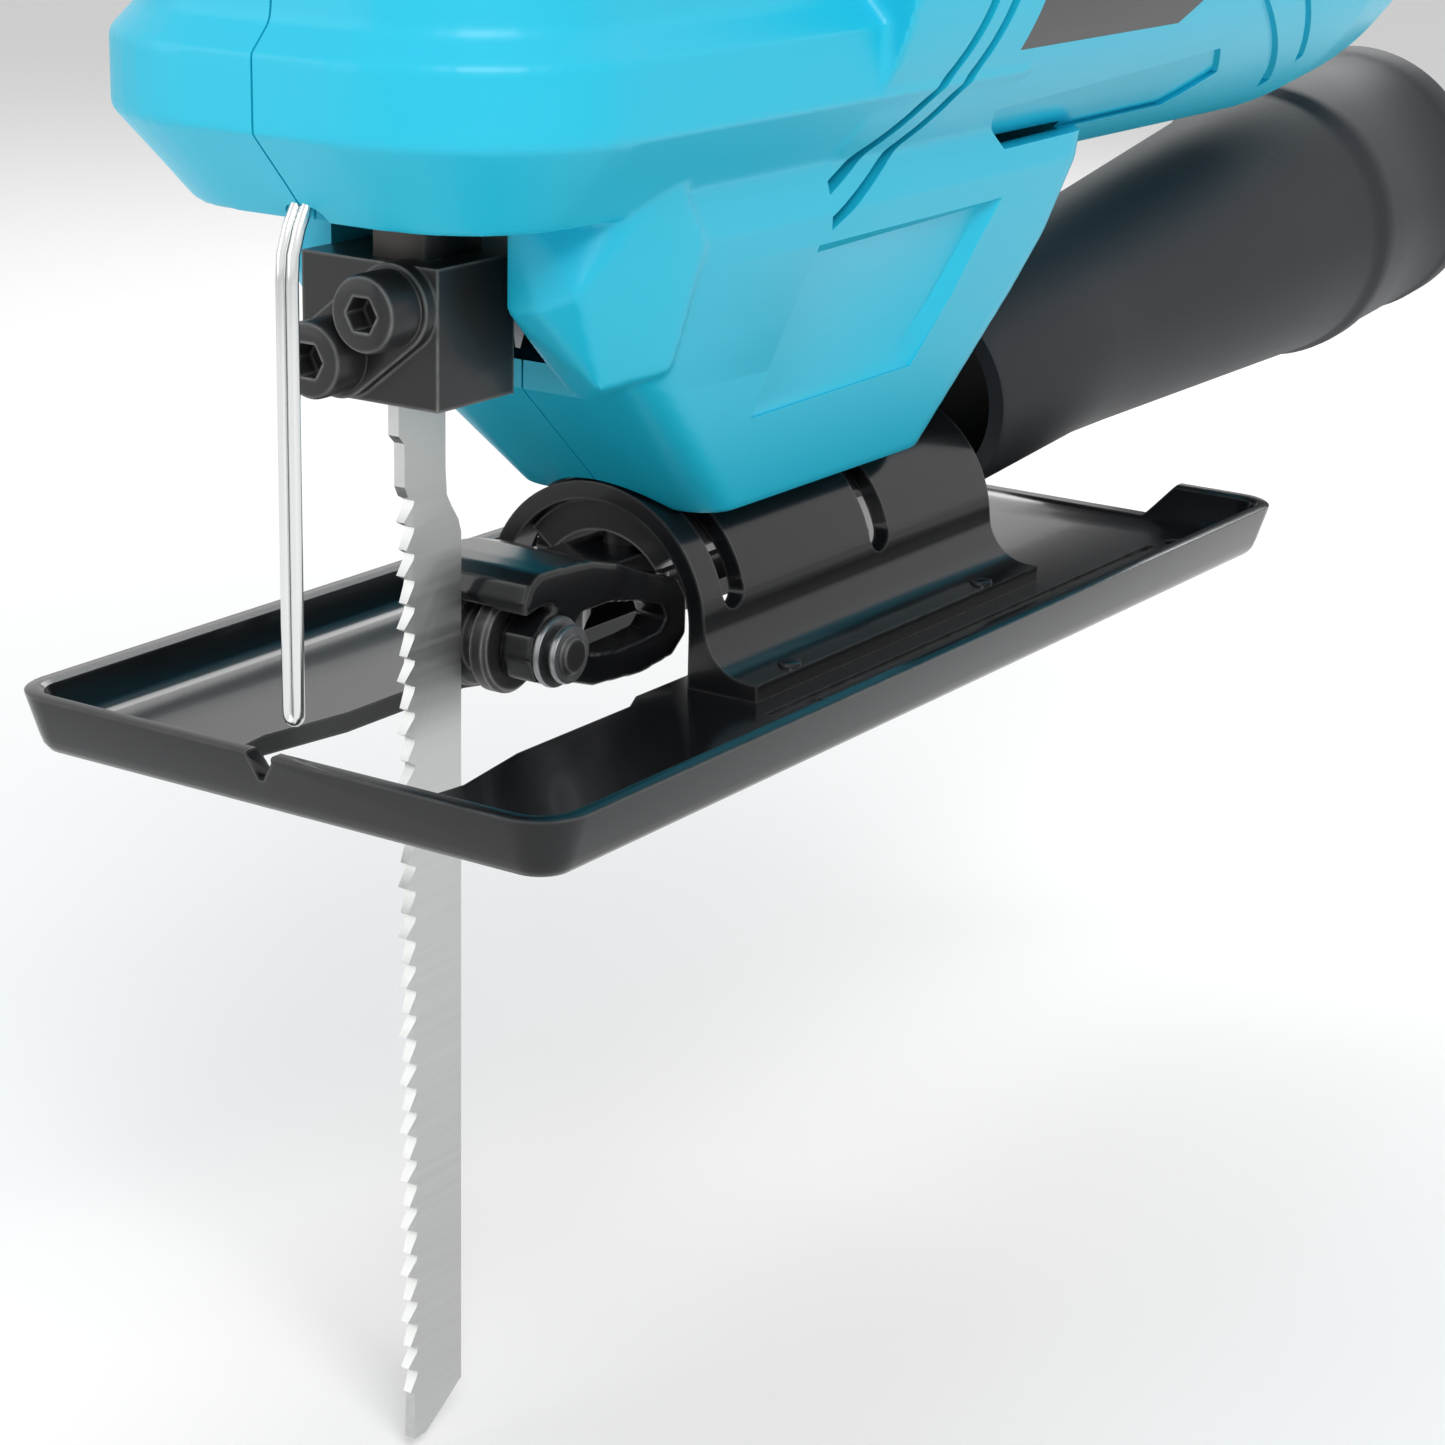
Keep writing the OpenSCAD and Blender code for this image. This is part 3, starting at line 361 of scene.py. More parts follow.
def effect(name, inputs, outputs):
    """An empty shader node group with named sockets."""
    tree = bpy.data.node_groups.new(name, "ShaderNodeTree")
    for label, kind, value in inputs:
        socket = tree.interface.new_socket(label, in_out="INPUT", socket_type=kind)
        if value is not None:
            socket.default_value = value
    for label, kind in outputs:
        tree.interface.new_socket(label, in_out="OUTPUT", socket_type=kind)
    return tree, tree.nodes.new("NodeGroupInput"), tree.nodes.new("NodeGroupOutput")


def grain_effect():
    """Fine moulded grain: a height for bump and a slow roughness drift."""
    if "Moulded Grain" in bpy.data.node_groups:
        return bpy.data.node_groups["Moulded Grain"]
    tree, src, dst = effect(
        "Moulded Grain",
        [("Scale", "NodeSocketFloat", 900.0), ("Roughness", "NodeSocketFloat", 0.4),
         ("Drift", "NodeSocketFloat", 0.08)],
        [("Height", "NodeSocketFloat"), ("Roughness", "NodeSocketFloat")])
    coord = tree.nodes.new("ShaderNodeTexCoord")
    fine, slow = tree.nodes.new("ShaderNodeTexNoise"), tree.nodes.new("ShaderNodeTexNoise")
    fine.inputs["Detail"].default_value = 4.0
    slow.inputs["Scale"].default_value = 35.0
    slow.inputs["Detail"].default_value = 5.0
    centre, scale, add = (tree.nodes.new("ShaderNodeMath") for _ in range(3))
    centre.operation, scale.operation, add.operation = "SUBTRACT", "MULTIPLY", "ADD"
    centre.inputs[1].default_value = 0.5
    link = tree.links.new
    link(coord.outputs["Object"], fine.inputs["Vector"])
    link(coord.outputs["Object"], slow.inputs["Vector"])
    link(src.outputs["Scale"], fine.inputs["Scale"])
    link(fine.outputs["Fac"], dst.inputs["Height"])
    link(slow.outputs["Fac"], centre.inputs[0])
    link(centre.outputs[0], scale.inputs[0])
    link(src.outputs["Drift"], scale.inputs[1])
    link(scale.outputs[0], add.inputs[0])
    link(src.outputs["Roughness"], add.inputs[1])
    link(add.outputs[0], dst.inputs["Roughness"])
    return tree


def wear_effect():
    """Mask that is 1 on broken-up outer edges."""
    if "Edge Wear" in bpy.data.node_groups:
        return bpy.data.node_groups["Edge Wear"]
    tree, src, dst = effect(
        "Edge Wear",
        [("Width", "NodeSocketFloat", 0.0005), ("Amount", "NodeSocketFloat", 0.5)],
        [("Mask", "NodeSocketFloat")])
    new, link = tree.nodes.new, tree.links.new
    round_edge, geo, dot = new("ShaderNodeBevel"), new("ShaderNodeNewGeometry"), new("ShaderNodeVectorMath")
    ramp, noise, coord, mix = (new("ShaderNodeMapRange"), new("ShaderNodeTexNoise"),
                               new("ShaderNodeTexCoord"), new("ShaderNodeMath"))
    amount = new("ShaderNodeMath")
    round_edge.samples = 4
    dot.operation = "DOT_PRODUCT"
    noise.inputs["Scale"].default_value = 420.0
    noise.inputs["Detail"].default_value = 6.0
    ramp.inputs["From Min"].default_value = 0.995
    ramp.inputs["From Max"].default_value = 0.93
    mix.operation = "MULTIPLY"
    amount.operation = "MULTIPLY"
    amount.use_clamp = True
    link(src.outputs["Width"], round_edge.inputs["Radius"])
    link(round_edge.outputs["Normal"], dot.inputs[0])
    link(geo.outputs["Normal"], dot.inputs[1])
    link(dot.outputs["Value"], ramp.inputs["Value"])
    link(coord.outputs["Object"], noise.inputs["Vector"])
    link(ramp.outputs["Result"], mix.inputs[0])
    link(noise.outputs["Fac"], mix.inputs[1])
    link(mix.outputs[0], amount.inputs[0])
    link(src.outputs["Amount"], amount.inputs[1])
    link(amount.outputs[0], dst.inputs["Mask"])
    return tree


def brushed_effect():
    """Lines of grinding along Z: a height and a colour shift."""
    if "Grinding Lines" in bpy.data.node_groups:
        return bpy.data.node_groups["Grinding Lines"]
    tree, src, dst = effect(
        "Grinding Lines",
        [("Stretch", "NodeSocketVector", (900.0, 900.0, 40.0)), ("Base", "NodeSocketFloat", 0.35),
         ("Spread", "NodeSocketFloat", 0.15)],
        [("Height", "NodeSocketFloat"), ("Roughness", "NodeSocketFloat"), ("Tone", "NodeSocketFloat")])
    new, link = tree.nodes.new, tree.links.new
    coord, scale, noise = new("ShaderNodeTexCoord"), new("ShaderNodeVectorMath"), new("ShaderNodeTexNoise")
    spread, add = new("ShaderNodeMath"), new("ShaderNodeMath")
    scale.operation, spread.operation, add.operation = "MULTIPLY", "MULTIPLY", "ADD"
    noise.inputs["Scale"].default_value = 1.0
    noise.inputs["Detail"].default_value = 5.0
    link(coord.outputs["Object"], scale.inputs[0])
    link(src.outputs["Stretch"], scale.inputs[1])
    link(scale.outputs["Vector"], noise.inputs["Vector"])
    link(noise.outputs["Fac"], spread.inputs[0])
    link(src.outputs["Spread"], spread.inputs[1])
    link(spread.outputs[0], add.inputs[0])
    link(src.outputs["Base"], add.inputs[1])
    link(noise.outputs["Fac"], dst.inputs["Height"])
    link(noise.outputs["Fac"], dst.inputs["Tone"])
    link(add.outputs[0], dst.inputs["Roughness"])
    return tree


def shader(name):
    mat = bpy.data.materials.new(name)
    mat.use_nodes = True
    return mat, mat.node_tree, mat.node_tree.nodes["Principled BSDF"]


def group_node(tree, group, **values):
    node = tree.nodes.new("ShaderNodeGroup")
    node.node_tree = group
    for label, value in values.items():
        node.inputs[label].default_value = value
    return node


def bump(tree, bsdf, height, strength, distance):
    node = tree.nodes.new("ShaderNodeBump")
    node.inputs["Strength"].default_value = strength
    node.inputs["Distance"].default_value = distance
    tree.links.new(height, node.inputs["Height"])
    tree.links.new(node.outputs["Normal"], bsdf.inputs["Normal"])


def two_tone(tree, bsdf, mask, low, high):
    mix = tree.nodes.new("ShaderNodeMix")
    mix.data_type = "RGBA"
    mix.inputs[6].default_value = (*low, 1)
    mix.inputs[7].default_value = (*high, 1)
    tree.links.new(mask, mix.inputs[0])
    tree.links.new(mix.outputs[2], bsdf.inputs["Base Color"])
    return mix


def plastic(name, color, roughness, scale=900.0, strength=0.12, distance=0.0001, coat=0.0, worn=0.25, shine=0.5):
    mat, tree, bsdf = shader(name)
    bsdf.inputs["Specular IOR Level"].default_value = shine
    grain = group_node(tree, grain_effect(), Scale=scale, Roughness=roughness, Drift=0.12)
    edge = group_node(tree, wear_effect(), Width=0.0004, Amount=worn)
    tree.links.new(grain.outputs["Roughness"], bsdf.inputs["Roughness"])
    two_tone(tree, bsdf, edge.outputs["Mask"], color, [min(1.0, c * 1.35 + 0.02) for c in color])
    bump(tree, bsdf, grain.outputs["Height"], strength, distance)
    bsdf.inputs["Coat Weight"].default_value = coat
    bsdf.inputs["Coat Roughness"].default_value = 0.12
    return mat


def metal(name, color, base, spread, stretch=(900.0, 900.0, 40.0), strength=0.08, tone=0.25):
    mat, tree, bsdf = shader(name)
    lines = group_node(tree, brushed_effect(), Stretch=stretch, Base=base, Spread=spread)
    tree.links.new(lines.outputs["Roughness"], bsdf.inputs["Roughness"])
    two_tone(tree, bsdf, lines.outputs["Tone"], [c * (1 - tone) for c in color], color)
    bump(tree, bsdf, lines.outputs["Height"], strength, 0.00005)
    bsdf.inputs["Metallic"].default_value = 1.0
    return mat


def enamel(name, color, roughness, coat, worn=0.3, bright=(0.25, 0.25, 0.25), scale=260.0, strength=0.05):
    mat, tree, bsdf = shader(name)
    bsdf.inputs["Specular IOR Level"].default_value = 0.3
    grain = group_node(tree, grain_effect(), Scale=scale, Roughness=roughness, Drift=0.1)
    edge = group_node(tree, wear_effect(), Width=0.0005, Amount=worn)
    tree.links.new(grain.outputs["Roughness"], bsdf.inputs["Roughness"])
    two_tone(tree, bsdf, edge.outputs["Mask"], color, bright)
    bump(tree, bsdf, grain.outputs["Height"], strength, 0.0002)
    bsdf.inputs["Coat Weight"].default_value = coat
    bsdf.inputs["Coat Roughness"].default_value = 0.08
    return mat


def make_materials():
    return {
        "turquoise_shell": plastic("turquoise_shell", (0.012, 0.50, 0.70), 0.36, 700.0, 0.10, shine=0.4),
        "soft_grip": plastic("soft_grip", (0.035, 0.037, 0.040), 0.66, 500.0, 0.45, 0.0002),
        "dark_label": plastic("dark_label", (0.055, 0.055, 0.058), 0.42, 1200.0, 0.06),
        "black_plastic": plastic("black_plastic", (0.022, 0.023, 0.025), 0.46, 800.0, 0.2),
        "tube_plastic": plastic("tube_plastic", (0.020, 0.022, 0.026), 0.55, 800.0, 0.25, shine=0.3),
        "dial_plastic": plastic("dial_plastic", (0.75, 0.75, 0.71), 0.40),
        "board": plastic("board", (0.02, 0.13, 0.05), 0.35),
        "black_enamel": enamel("black_enamel", (0.006, 0.0065, 0.0075), 0.22, 0.2, 0.35),
        "black_oxide": enamel("black_oxide", (0.022, 0.022, 0.023), 0.38, 0.1, 0.9, (0.40, 0.40, 0.39), 500.0, 0.2),
        "carbon": enamel("carbon", (0.02, 0.02, 0.021), 0.6, 0.0, 0.1),
        "bright_zinc": metal("bright_zinc", (0.78, 0.79, 0.79), 0.14, 0.12, strength=0.03, tone=0.1),
        "blade_steel": metal("blade_steel", (0.62, 0.63, 0.62), 0.30, 0.22, (1400.0, 30.0, 1400.0), 0.1, 0.2),
        "dark_steel": metal("dark_steel", (0.10, 0.095, 0.09), 0.38, 0.25),
        "steel": metal("steel", (0.36, 0.37, 0.38), 0.30, 0.2),
        "bearing_steel": metal("bearing_steel", (0.62, 0.64, 0.66), 0.15, 0.1),
        "laminations": metal("laminations", (0.25, 0.25, 0.26), 0.4, 0.2, (60.0, 2600.0, 60.0), 0.6, 0.5),
        "copper_wire": metal("copper_wire", (0.62, 0.27, 0.09), 0.28, 0.2, (300.0, 60.0, 2200.0), 0.6, 0.5),
        "copper": metal("copper", (0.72, 0.36, 0.20), 0.25, 0.2),
        "brass": metal("brass", (0.62, 0.48, 0.2), 0.28, 0.2),
        "bronze": metal("bronze", (0.46, 0.30, 0.14), 0.42, 0.2),
        "cast_alloy": metal("cast_alloy", (0.55, 0.56, 0.57), 0.42, 0.2, (500.0, 500.0, 500.0), 0.3),
    }


# ---------- housing shapes ----------

def round_rect(hx, hy, r, k=5):
    out = []
    for cx, cy, start in ((1, -1, -90), (1, 1, 0), (-1, 1, 90), (-1, -1, 180)):
        for i in range(k + 1):
            a = math.radians(start + 90 * i / k)
            out.append((cx * (hx - r) + r * math.cos(a), cy * (hy - r) + r * math.sin(a)))
    return out


def handle_at(t):
    """Handle section at a real-valued index, smooth between the listed ones."""
    i = min(int(t), len(HANDLE) - 2)
    u = t - i
    p = [HANDLE[max(0, min(len(HANDLE) - 1, i + k))] for k in (-1, 0, 1, 2)]
    return tuple(
        0.5 * (2 * b + (c - a) * u + (2 * a - 5 * b + 4 * c - d) * u * u + (3 * b - a - 3 * c + d) * u ** 3)
        for a, b, c, d in zip(*p))


def handle_ring(section, d, shift=0.0):
    y, z, turn, hy, hx = section
    c, s = math.cos(math.radians(turn)), math.sin(math.radians(turn))
    return [(px, y + py * c - shift * s, min(z + py * s + shift * c, HANDLE_TOP - d))
            for px, py in round_rect(hx - d, hy - d, max(9.5 - d, 2.0))]


def handle_body(name, d, first=0.0, last=9.0, overrun=0.0):
    steps = int((last - first) * 5)
    rings = [handle_ring(handle_at(first + (last - first) * i / steps), d) for i in range(steps + 1)]
    if overrun:
        rings.insert(0, handle_ring(handle_at(first), d, -overrun))
        rings.append(handle_ring(handle_at(last), d, overrun))
    return loft(name, rings)


def head_body(name, d):
    hw, y0, y1, r = 26.0, -23.0, 62.0, 18.0
    rings = []
    for z, inset in ((51.5 + d, 7), (55 + d / 2, 4), (59.5, 0), (66, 0), (68.5, 2.4), (88, 4), (104 - d, 13 - d / 2)):
        e = inset + d
        ring = [(hw - e, y1 - e), (-hw + e, y1 - e)]
        for cx, start in ((-hw + r, 180), (hw - r, 270)):
            for i in range(11):
                a = math.radians(start + 9 * i)
                ring.append((cx + (r - e) * math.cos(a), y0 + r + (r - e) * math.sin(a)))
        rings.append([(x, y, z) for x, y in ring])
    return loft(name, rings)


def leg_body(name, d):
    rings = []
    for z, y0, y1, hw in ((18.7 + d, 28.5, 69.2, 12.2), (34, 12, 82, 15.8), (40, 8.5, 85.5, 17.5),
                          (48, 7, 87, 20), (60 - d, 6, 88, 21)):
        ring = round_rect(hw - d, (y1 - y0) / 2 - d, max(4 - d, 1))
        rings.append([(x, y + (y0 + y1) / 2, z) for x, y in ring])
    return loft(name, rings)


def barrel_body(name, d):
    r = 30.0 - d
    outline = [(0, 34 + d), (r, 34 + d), (r, 144), (r - 1.4, 156), (r - 5, 170), (r - 10.5, 184),
               (r - 15.5, 193), (r - 20, 202 - d), (0, 202 - d)]
    rings = [[(rad * math.cos(a), y, MOTOR_Z + rad * math.sin(a)) for a in (math.tau * i / 96 for i in range(96))]
             for rad, y in ((max(p[0], 0.01), p[1]) for p in outline[1:-1])]
    return loft(name, rings)


def window_pad(name, side):
    facets = [(9.4, -1, 53.5), (9.4, -1, 42.6), (9.4, 7.6, 34.6), (13, -1.4, 43.2), (15.5, 2, 53.5),
              (18.6, 4.5, 55), (21.4, 8, 55), (20.4, 14, 48), (17.3, 13.4, 36.2), (15, 5.4, 35.4),
              (16.8, -0.6, 45), (11.4, 8.4, 33.4), (9.4, 18, 55), (9.4, 18, 34)]
    return hull(name, [(side * x, y, z) for x, y, z in facets])


def housing_skin(voxel, passes):
    skin = head_body("skin", 0)
    parts = [leg_body("leg", 0), barrel_body("barrel", 0), handle_body("handle", 0)]
    parts += [window_pad("pad", 1), window_pad("pad", -1)]
    combine(skin, parts, "UNION")
    return soften(skin, voxel, passes, 0.16)


def arc_slot(name, r, w, a0, a1, x0, x1):
    """Curved slot about the drive axis, seen from the side."""
    angles = [math.radians(a0 + (a1 - a0) * i / 14) for i in range(15)]
    outer = [(22 + (r + w) * math.cos(a), 76 + (r + w) * math.sin(a)) for a in angles]
    inner = [(22 + r * math.cos(a), 76 + r * math.sin(a)) for a in reversed(angles)]
    return prism_x(name, outer + inner, x0, x1)


def label_outline(grow):
    pts = [(58, 62), (92, 62), (99, 66), (99, 86), (64, 86)]
    cy, cz = 78.0, 74.0
    return [(y + math.copysign(grow, y - cy), z + math.copysign(grow, z - cz)) for y, z in pts]


def label_tool(name, side, grow, depth=1.05):
    """Block over the label's place that reaches one millimetre into the barrel."""
    x0, x1 = sorted((side * 14.0, side * 34.0))
    tool = prism_x(name, label_outline(grow), x0, x1)
    return combine(tool, rod_y("core", 30.0 - depth, 40, 120, MOTOR_Z, steps=96))


def recess_tool(name, side):
    """Panel in the sloped side of the leg: it fades out forward and has a bevel at the back and below."""
    rim = [(35, 45), (70, 45.4), (65.5, 35.5), (60.5, 28.8), (31, 28.4)]
    bed = [(35, 44.2), (68, 44.6), (63.4, 35.8), (59, 30.6), (32, 30.2)]

    def ring(outline, sink):
        out = []
        for y, z in outline:
            surface = 15.8 + (z - 34) * 1.7 / 6 if z < 40 else 17.5 + (z - 40) * 2.5 / 8
            share = min(1.0, max(0.0, (y - 32) / 14))
            out.append((side * (surface - sink * share), y, z))
        return out

    proud = [(x + side * 6, y, z) for x, y, z in ring(rim, 0)]
    return loft(name, [proud, ring(rim, 0), ring(bed, 1.3)])


def skin_cut(name, outline, side, depth):
    """Shallow cut of even depth in the barrel's side under an outline in (y, z)."""
    x0, x1 = sorted((side * 6.0, side * 34.0))
    tool = prism_x(name, outline, x0, x1)
    return combine(tool, rod_y("core", 30.0 - depth, 40, 160, MOTOR_Z, steps=96))


def slanted(a, b, width):
    """Outline of a straight groove from a to b in (y, z)."""
    run = Vector(b) - Vector(a)
    side = Vector((-run.y, run.x)).normalized() * width / 2
    return [tuple(Vector(p) + s) for p, s in ((a, side), (b, side), (b, -side), (a, -side))]


def gland_turn():
    """Places a shape along the cord inlet's axis."""
    return Matrix.Translation(Vector((0, 198, 128)) * MM) @ Matrix.Rotation(math.radians(-35), 4, "X") \
        @ Matrix.Rotation(math.radians(-90), 4, "X")


def along_gland(obj):
    obj.data.transform(gland_turn())
    return obj


def opening_tools(side):
    """Everything cut out of a housing half, besides its inner void."""
    tools = [
        box("t", (-9.2, -9.5, 46), (9.2, 12, 58.5)),
        box("t", (-10.2, -12.5, 26), (8.2, 14, 55.5)),
        rod_y("t", 13.3, 0, 100, TILT_Z, steps=96),
        box("t", (-7.2, 25.3, 23.3), (7.2, 65.2, 27.9)),
        box("t", (-7.8, 47.5, 126), (7.8, 81, 157.2)),
        rod_x("t", 4.7, 6.6, 30, 74, 164),
        box("t", (-5.2, 60, 32.4), (5.2, 98, 36.4)),
        label_tool("t", side, 0.12, 1.05),
        recess_tool("t", side),
        skin_cut("t", [(61, 55.4), (108, 57.8), (113, 54.6), (107, 51.2), (68, 50.6)], side, 0.6),
        skin_cut("t", slanted((112, 63), (134, 51), 1.2), side, 0.6),
        skin_cut("t", slanted((124, 62.5), (136, 54), 1.0), side, 0.6),
        along_gland(rod_z("t", 6.5, -12.3, 5, 0, 0)),
        along_gland(rod_z("t", 7.7, 4, 16, 0, 0)),
    ]
    for y in (31.5, 59):
        tools.append(rod_z("t", 2.7, TILT_Z, 34, 0, y))
    for x in (-1.05, 1.05):
        tools.append(rod_z("t", 1.2, 48, 66, x, -16.0))
    outer = sorted((side * 8.0, side * 60.0))
    tools.append(arc_slot("t", 31.5, 1.6, -64, -8, *outer))
    tools.append(arc_slot("t", 27.5, 1.6, -64, -8, *outer))
    for i in range(6):
        y = 153 + 6 * i
        outline = [(y, MOTOR_Z - 14), (y + 2.4, MOTOR_Z - 14), (y + 2.4, MOTOR_Z + 14 - 2.4 * i),
                   (y, MOTOR_Z + 14 - 2.4 * i)]
        tools.append(prism_x("t", outline, *outer))
    for y, z in SCREWS:
        if side < 0:
            tools.append(rod_x("t", 3.5, -60, -9.35, y, z))
        tools.append(rod_x("t", 1.55, -30, 8, y, z, 20))
    return tools


def inner_void(name):
    void = head_body(name, 2.5)
    return combine(void, [leg_body("l", 2.5), barrel_body("b", 2.5), handle_body("h", 4.5)], "UNION")


def rib_set(name):
    """Bosses and seats inside the housing."""
    ribs = rod_x(name, 4, -26, 26, *SCREWS[0], steps=24)
    parts = [rod_x("r", 4, -26, 26, y, z, 24) for y, z in SCREWS[1:]]
    for y, r in ((59, 26.4), (98.1, 26.4), (134, 14.1), (139.5, 14.1), (27.5, 17.1)):
        width = 3.0 if r != 14.1 else 2.5
        ring = rod_y("r", 29, y, y + width, MOTOR_Z)
        parts.append(combine(ring, rod_y("r", r, y - 1, y + width + 1, MOTOR_Z)))
    for z0, z1 in ((56.7, 60.2), (73.2, 78.2)):
        seat = box("r", (-25, -16, z0), (25, 7, z1))
        parts.append(combine(seat, box("r", (-8.1, -9.1, z0 - 1), (8.1, 12, z1 + 1))))
    combine(ribs, parts, "UNION")
    tools = [box("r", (-16, 4.7, 38), (16, 15, 71.2)), rod_y("r", 20, 14, 23, 54.2),
             box("r", (-9.2, 23.8, 54.2), (9.2, 34.2, 75)), rod_y("r", 9.2, 23.8, 34.2, 54.2),
             rod_y("r", 17.1, 20, 36.2, MOTOR_Z)]
    return combine(ribs, tools)


# ---------- settings ----------

class HousingSettings(bpy.types.PropertyGroup):
    voxel: bpy.props.FloatProperty(
        name="Skin step", description="Mesh step of the moulded skin in millimetres", default=0.5, min=0.4, max=3)
    rounding: bpy.props.IntProperty(
        name="Rounding", description="Smoothing passes on the moulded edges", default=4, min=0, max=30)
    seam: bpy.props.FloatProperty(
        name="Seam", description="Half the gap between the two shells in millimetres", default=0.12, min=0.05, max=0.5)


class BladeSettings(bpy.types.PropertyGroup):
    pitch: bpy.props.FloatProperty(
        name="Tooth pitch", description="Distance between teeth in millimetres", default=2.5, min=1, max=4)
    tooth_set: bpy.props.FloatProperty(
        name="Set", description="Sideways bend of each tooth in millimetres", default=0.3, min=0, max=0.5)


class StageSettings(bpy.types.PropertyGroup):
    key: bpy.props.FloatProperty(
        name="Key light", description="Power of the key light in watts", default=4.2, min=0, max=100)
    sky: bpy.props.FloatProperty(
        name="Sky", description="Strength of the even light", default=0.6, min=0, max=3)


MATERIALS = {}


def mat(name):
    if not MATERIALS:
        MATERIALS.update(make_materials())
    return MATERIALS[name]


class PieceOperator:
    """Shared frame of the build operators."""
    bl_options = {"REGISTER"}

    def execute(self, context):
        self.build(context)
        return {"FINISHED"}


class JIGSAW_OT_housing(PieceOperator, bpy.types.Operator):
    """Moulds the two shells, their grip pads and the label plates from one skin"""
    bl_idname = "jigsaw.housing"
    bl_label = "Housing"

    def build(self, context):
        cfg = context.scene.jigsaw_housing
        voxel = cfg.voxel
        skin = housing_skin(voxel, cfg.rounding)
        ribs = rib_set("ribs")
        combine(ribs, duplicate(skin, "trim"), "INTERSECT")
        void = inner_void("void")
        for side, tag in ((1, "left"), (-1, "right")):
            self.one_side(cfg, skin, void, ribs, side, tag)
        for spare in (skin, void, ribs):
            bpy.data.objects.remove(spare)

    def one_side(self, cfg, skin, void, ribs, side, tag):
        x0, x1 = sorted((side * cfg.seam, side * 60.0))
        keep = ((x0, -60, -20), (x1, 260, 240))
        shell = duplicate(skin, f"{tag}_housing_shell")
        combine(shell, box("k", *keep), "INTERSECT")
        band = handle_body("band", -5, GRIP_FIRST, GRIP_LAST)
        combine(band, handle_body("core", 2.0, GRIP_FIRST, GRIP_LAST, 3.0))
        pad = duplicate(shell, f"{tag}_grip")
        combine(pad, duplicate(band, "b2"), "INTERSECT")
        self.grip(pad, side)
        place(pad, "body", mat("soft_grip"), [f"{tag}_grip_pad"])
        plate = duplicate(shell, f"{tag}_label")
        combine(plate, label_tool("l", side, -0.1, 0.75), "INTERSECT")
        place(plate, "body", mat("dark_label"), [f"{tag}_label_plate"])
        combine(shell, [band, duplicate(void, "v")])
        inner = duplicate(ribs, "i")
        combine(inner, box("k", *keep), "INTERSECT")
        combine(shell, inner, "UNION")
        combine(shell, opening_tools(side))
        place(shell, "body", mat("turquoise_shell"), [f"{tag}_housing"])

    def grip(self, pad, side):
        tools = [box("t", (-7.8, 47.5, 126), (7.8, 81, 157.2)), rod_x("t", 4.8, 6.6, 30, 74, 164)]
        if side < 0:
            tools.append(rod_x("t", 3.6, -60, -9, 118, 158.5))
        for i in range(9):
            y = 88 + 4.6 * i
            x0, x1 = sorted((side * 15.2, side * 20.0))
            drop = 0.09 * (y - 90)
            tools.append(box("t", (x0, y, 151 - drop), (x1, y + 1.4, 171 - drop)))
        combine(pad, tools)


class JIGSAW_OT_screws(PieceOperator, bpy.types.Operator):
    """Housing screws with recessed cross slots"""
    bl_idname = "jigsaw.screws"
    bl_label = "Housing screws"

    def build(self, context):
        outline = [(0.01, 0), (1.5, 0), (1.5, 16.4), (3.1, 16.4), (3.1, 17.6), (2.4, 18.5), (1.2, 18.8), (0.01, 18.8)]
        screw = lathe("screw", outline, (7, 0, 0), (-1, 0, 0), 32)
        slots = [box("s", (-14, -2, -0.4), (-9.9, 2, 0.4)), box("s", (-14, -0.4, -2), (-9.9, 0.4, 2))]
        combine(screw, slots)
        points = [(0, y, z) for y, z in SCREWS]
        group = scatter("housing_screw_set", screw, points, mat("black_oxide"), turn=0.0, seed=3)
        place(group, "body", mat("black_oxide"), ["housing_screws"])


class JIGSAW_OT_blade(PieceOperator, bpy.types.Operator):
    """Saw blade with alternately set teeth"""
    bl_idname = "jigsaw.blade"
    bl_label = "Saw blade"

    def build(self, context):
        cfg = context.scene.jigsaw_blade
        half, reach, gullet = 0.6, 70.0, 1.15
        count = int((reach + 21) / cfg.pitch)
        outline = [(4, -reach + 3.6, 0), (4, 20.5, 0), (3.6, 21.8, 0), (2.6, 23.2, 0), (1.9, 24.4, 0),
                   (1.7, 27, 0), (1.7, 37.7, 0), (-5, 37.7, 0), (-5, 31, 0), (-4.2, 30.2, 0), (-4.2, 26.2, 0),
                   (-3.7, 25.2, 0)]
        for k in range(count):
            top = 24.8 - k * cfg.pitch
            bend = cfg.tooth_set * (1 if k % 2 else -1)
            outline += [(-4 + gullet, top - 0.05, 0), (-4 + gullet * 0.9, top - 0.5, 0),
                        (-4, top - 0.78 * cfg.pitch, bend), (-4 + gullet * 0.55, top - 0.92 * cfg.pitch, bend * 0.5)]
        outline += [(-3.4, -reach, 0), (-1.6, -reach, 0)]
        n = len(outline)
        verts = [(s * half + b if abs(b) < half else s * half, y, z) for s in (-1, 1) for y, z, b in outline]
        verts = [(max(-0.6, min(0.6, x)), y, z) for x, y, z in verts]
        faces = [tuple(range(n)), tuple(n + i for i in reversed(range(n)))]
        faces += [(i, (i + 1) % n, n + (i + 1) % n, n + i) for i in range(n)]
        blade = add_mesh("toothed_blade", verts, faces)
        bm = bmesh.new()
        bm.from_mesh(blade.data)
        bmesh.ops.triangulate(bm, faces=[f for f in bm.faces if len(f.verts) > 4])
        bm.to_mesh(blade.data)
        bm.free()
        place(blade, "plunger", mat("blade_steel"), ["saw_blade"], 25)


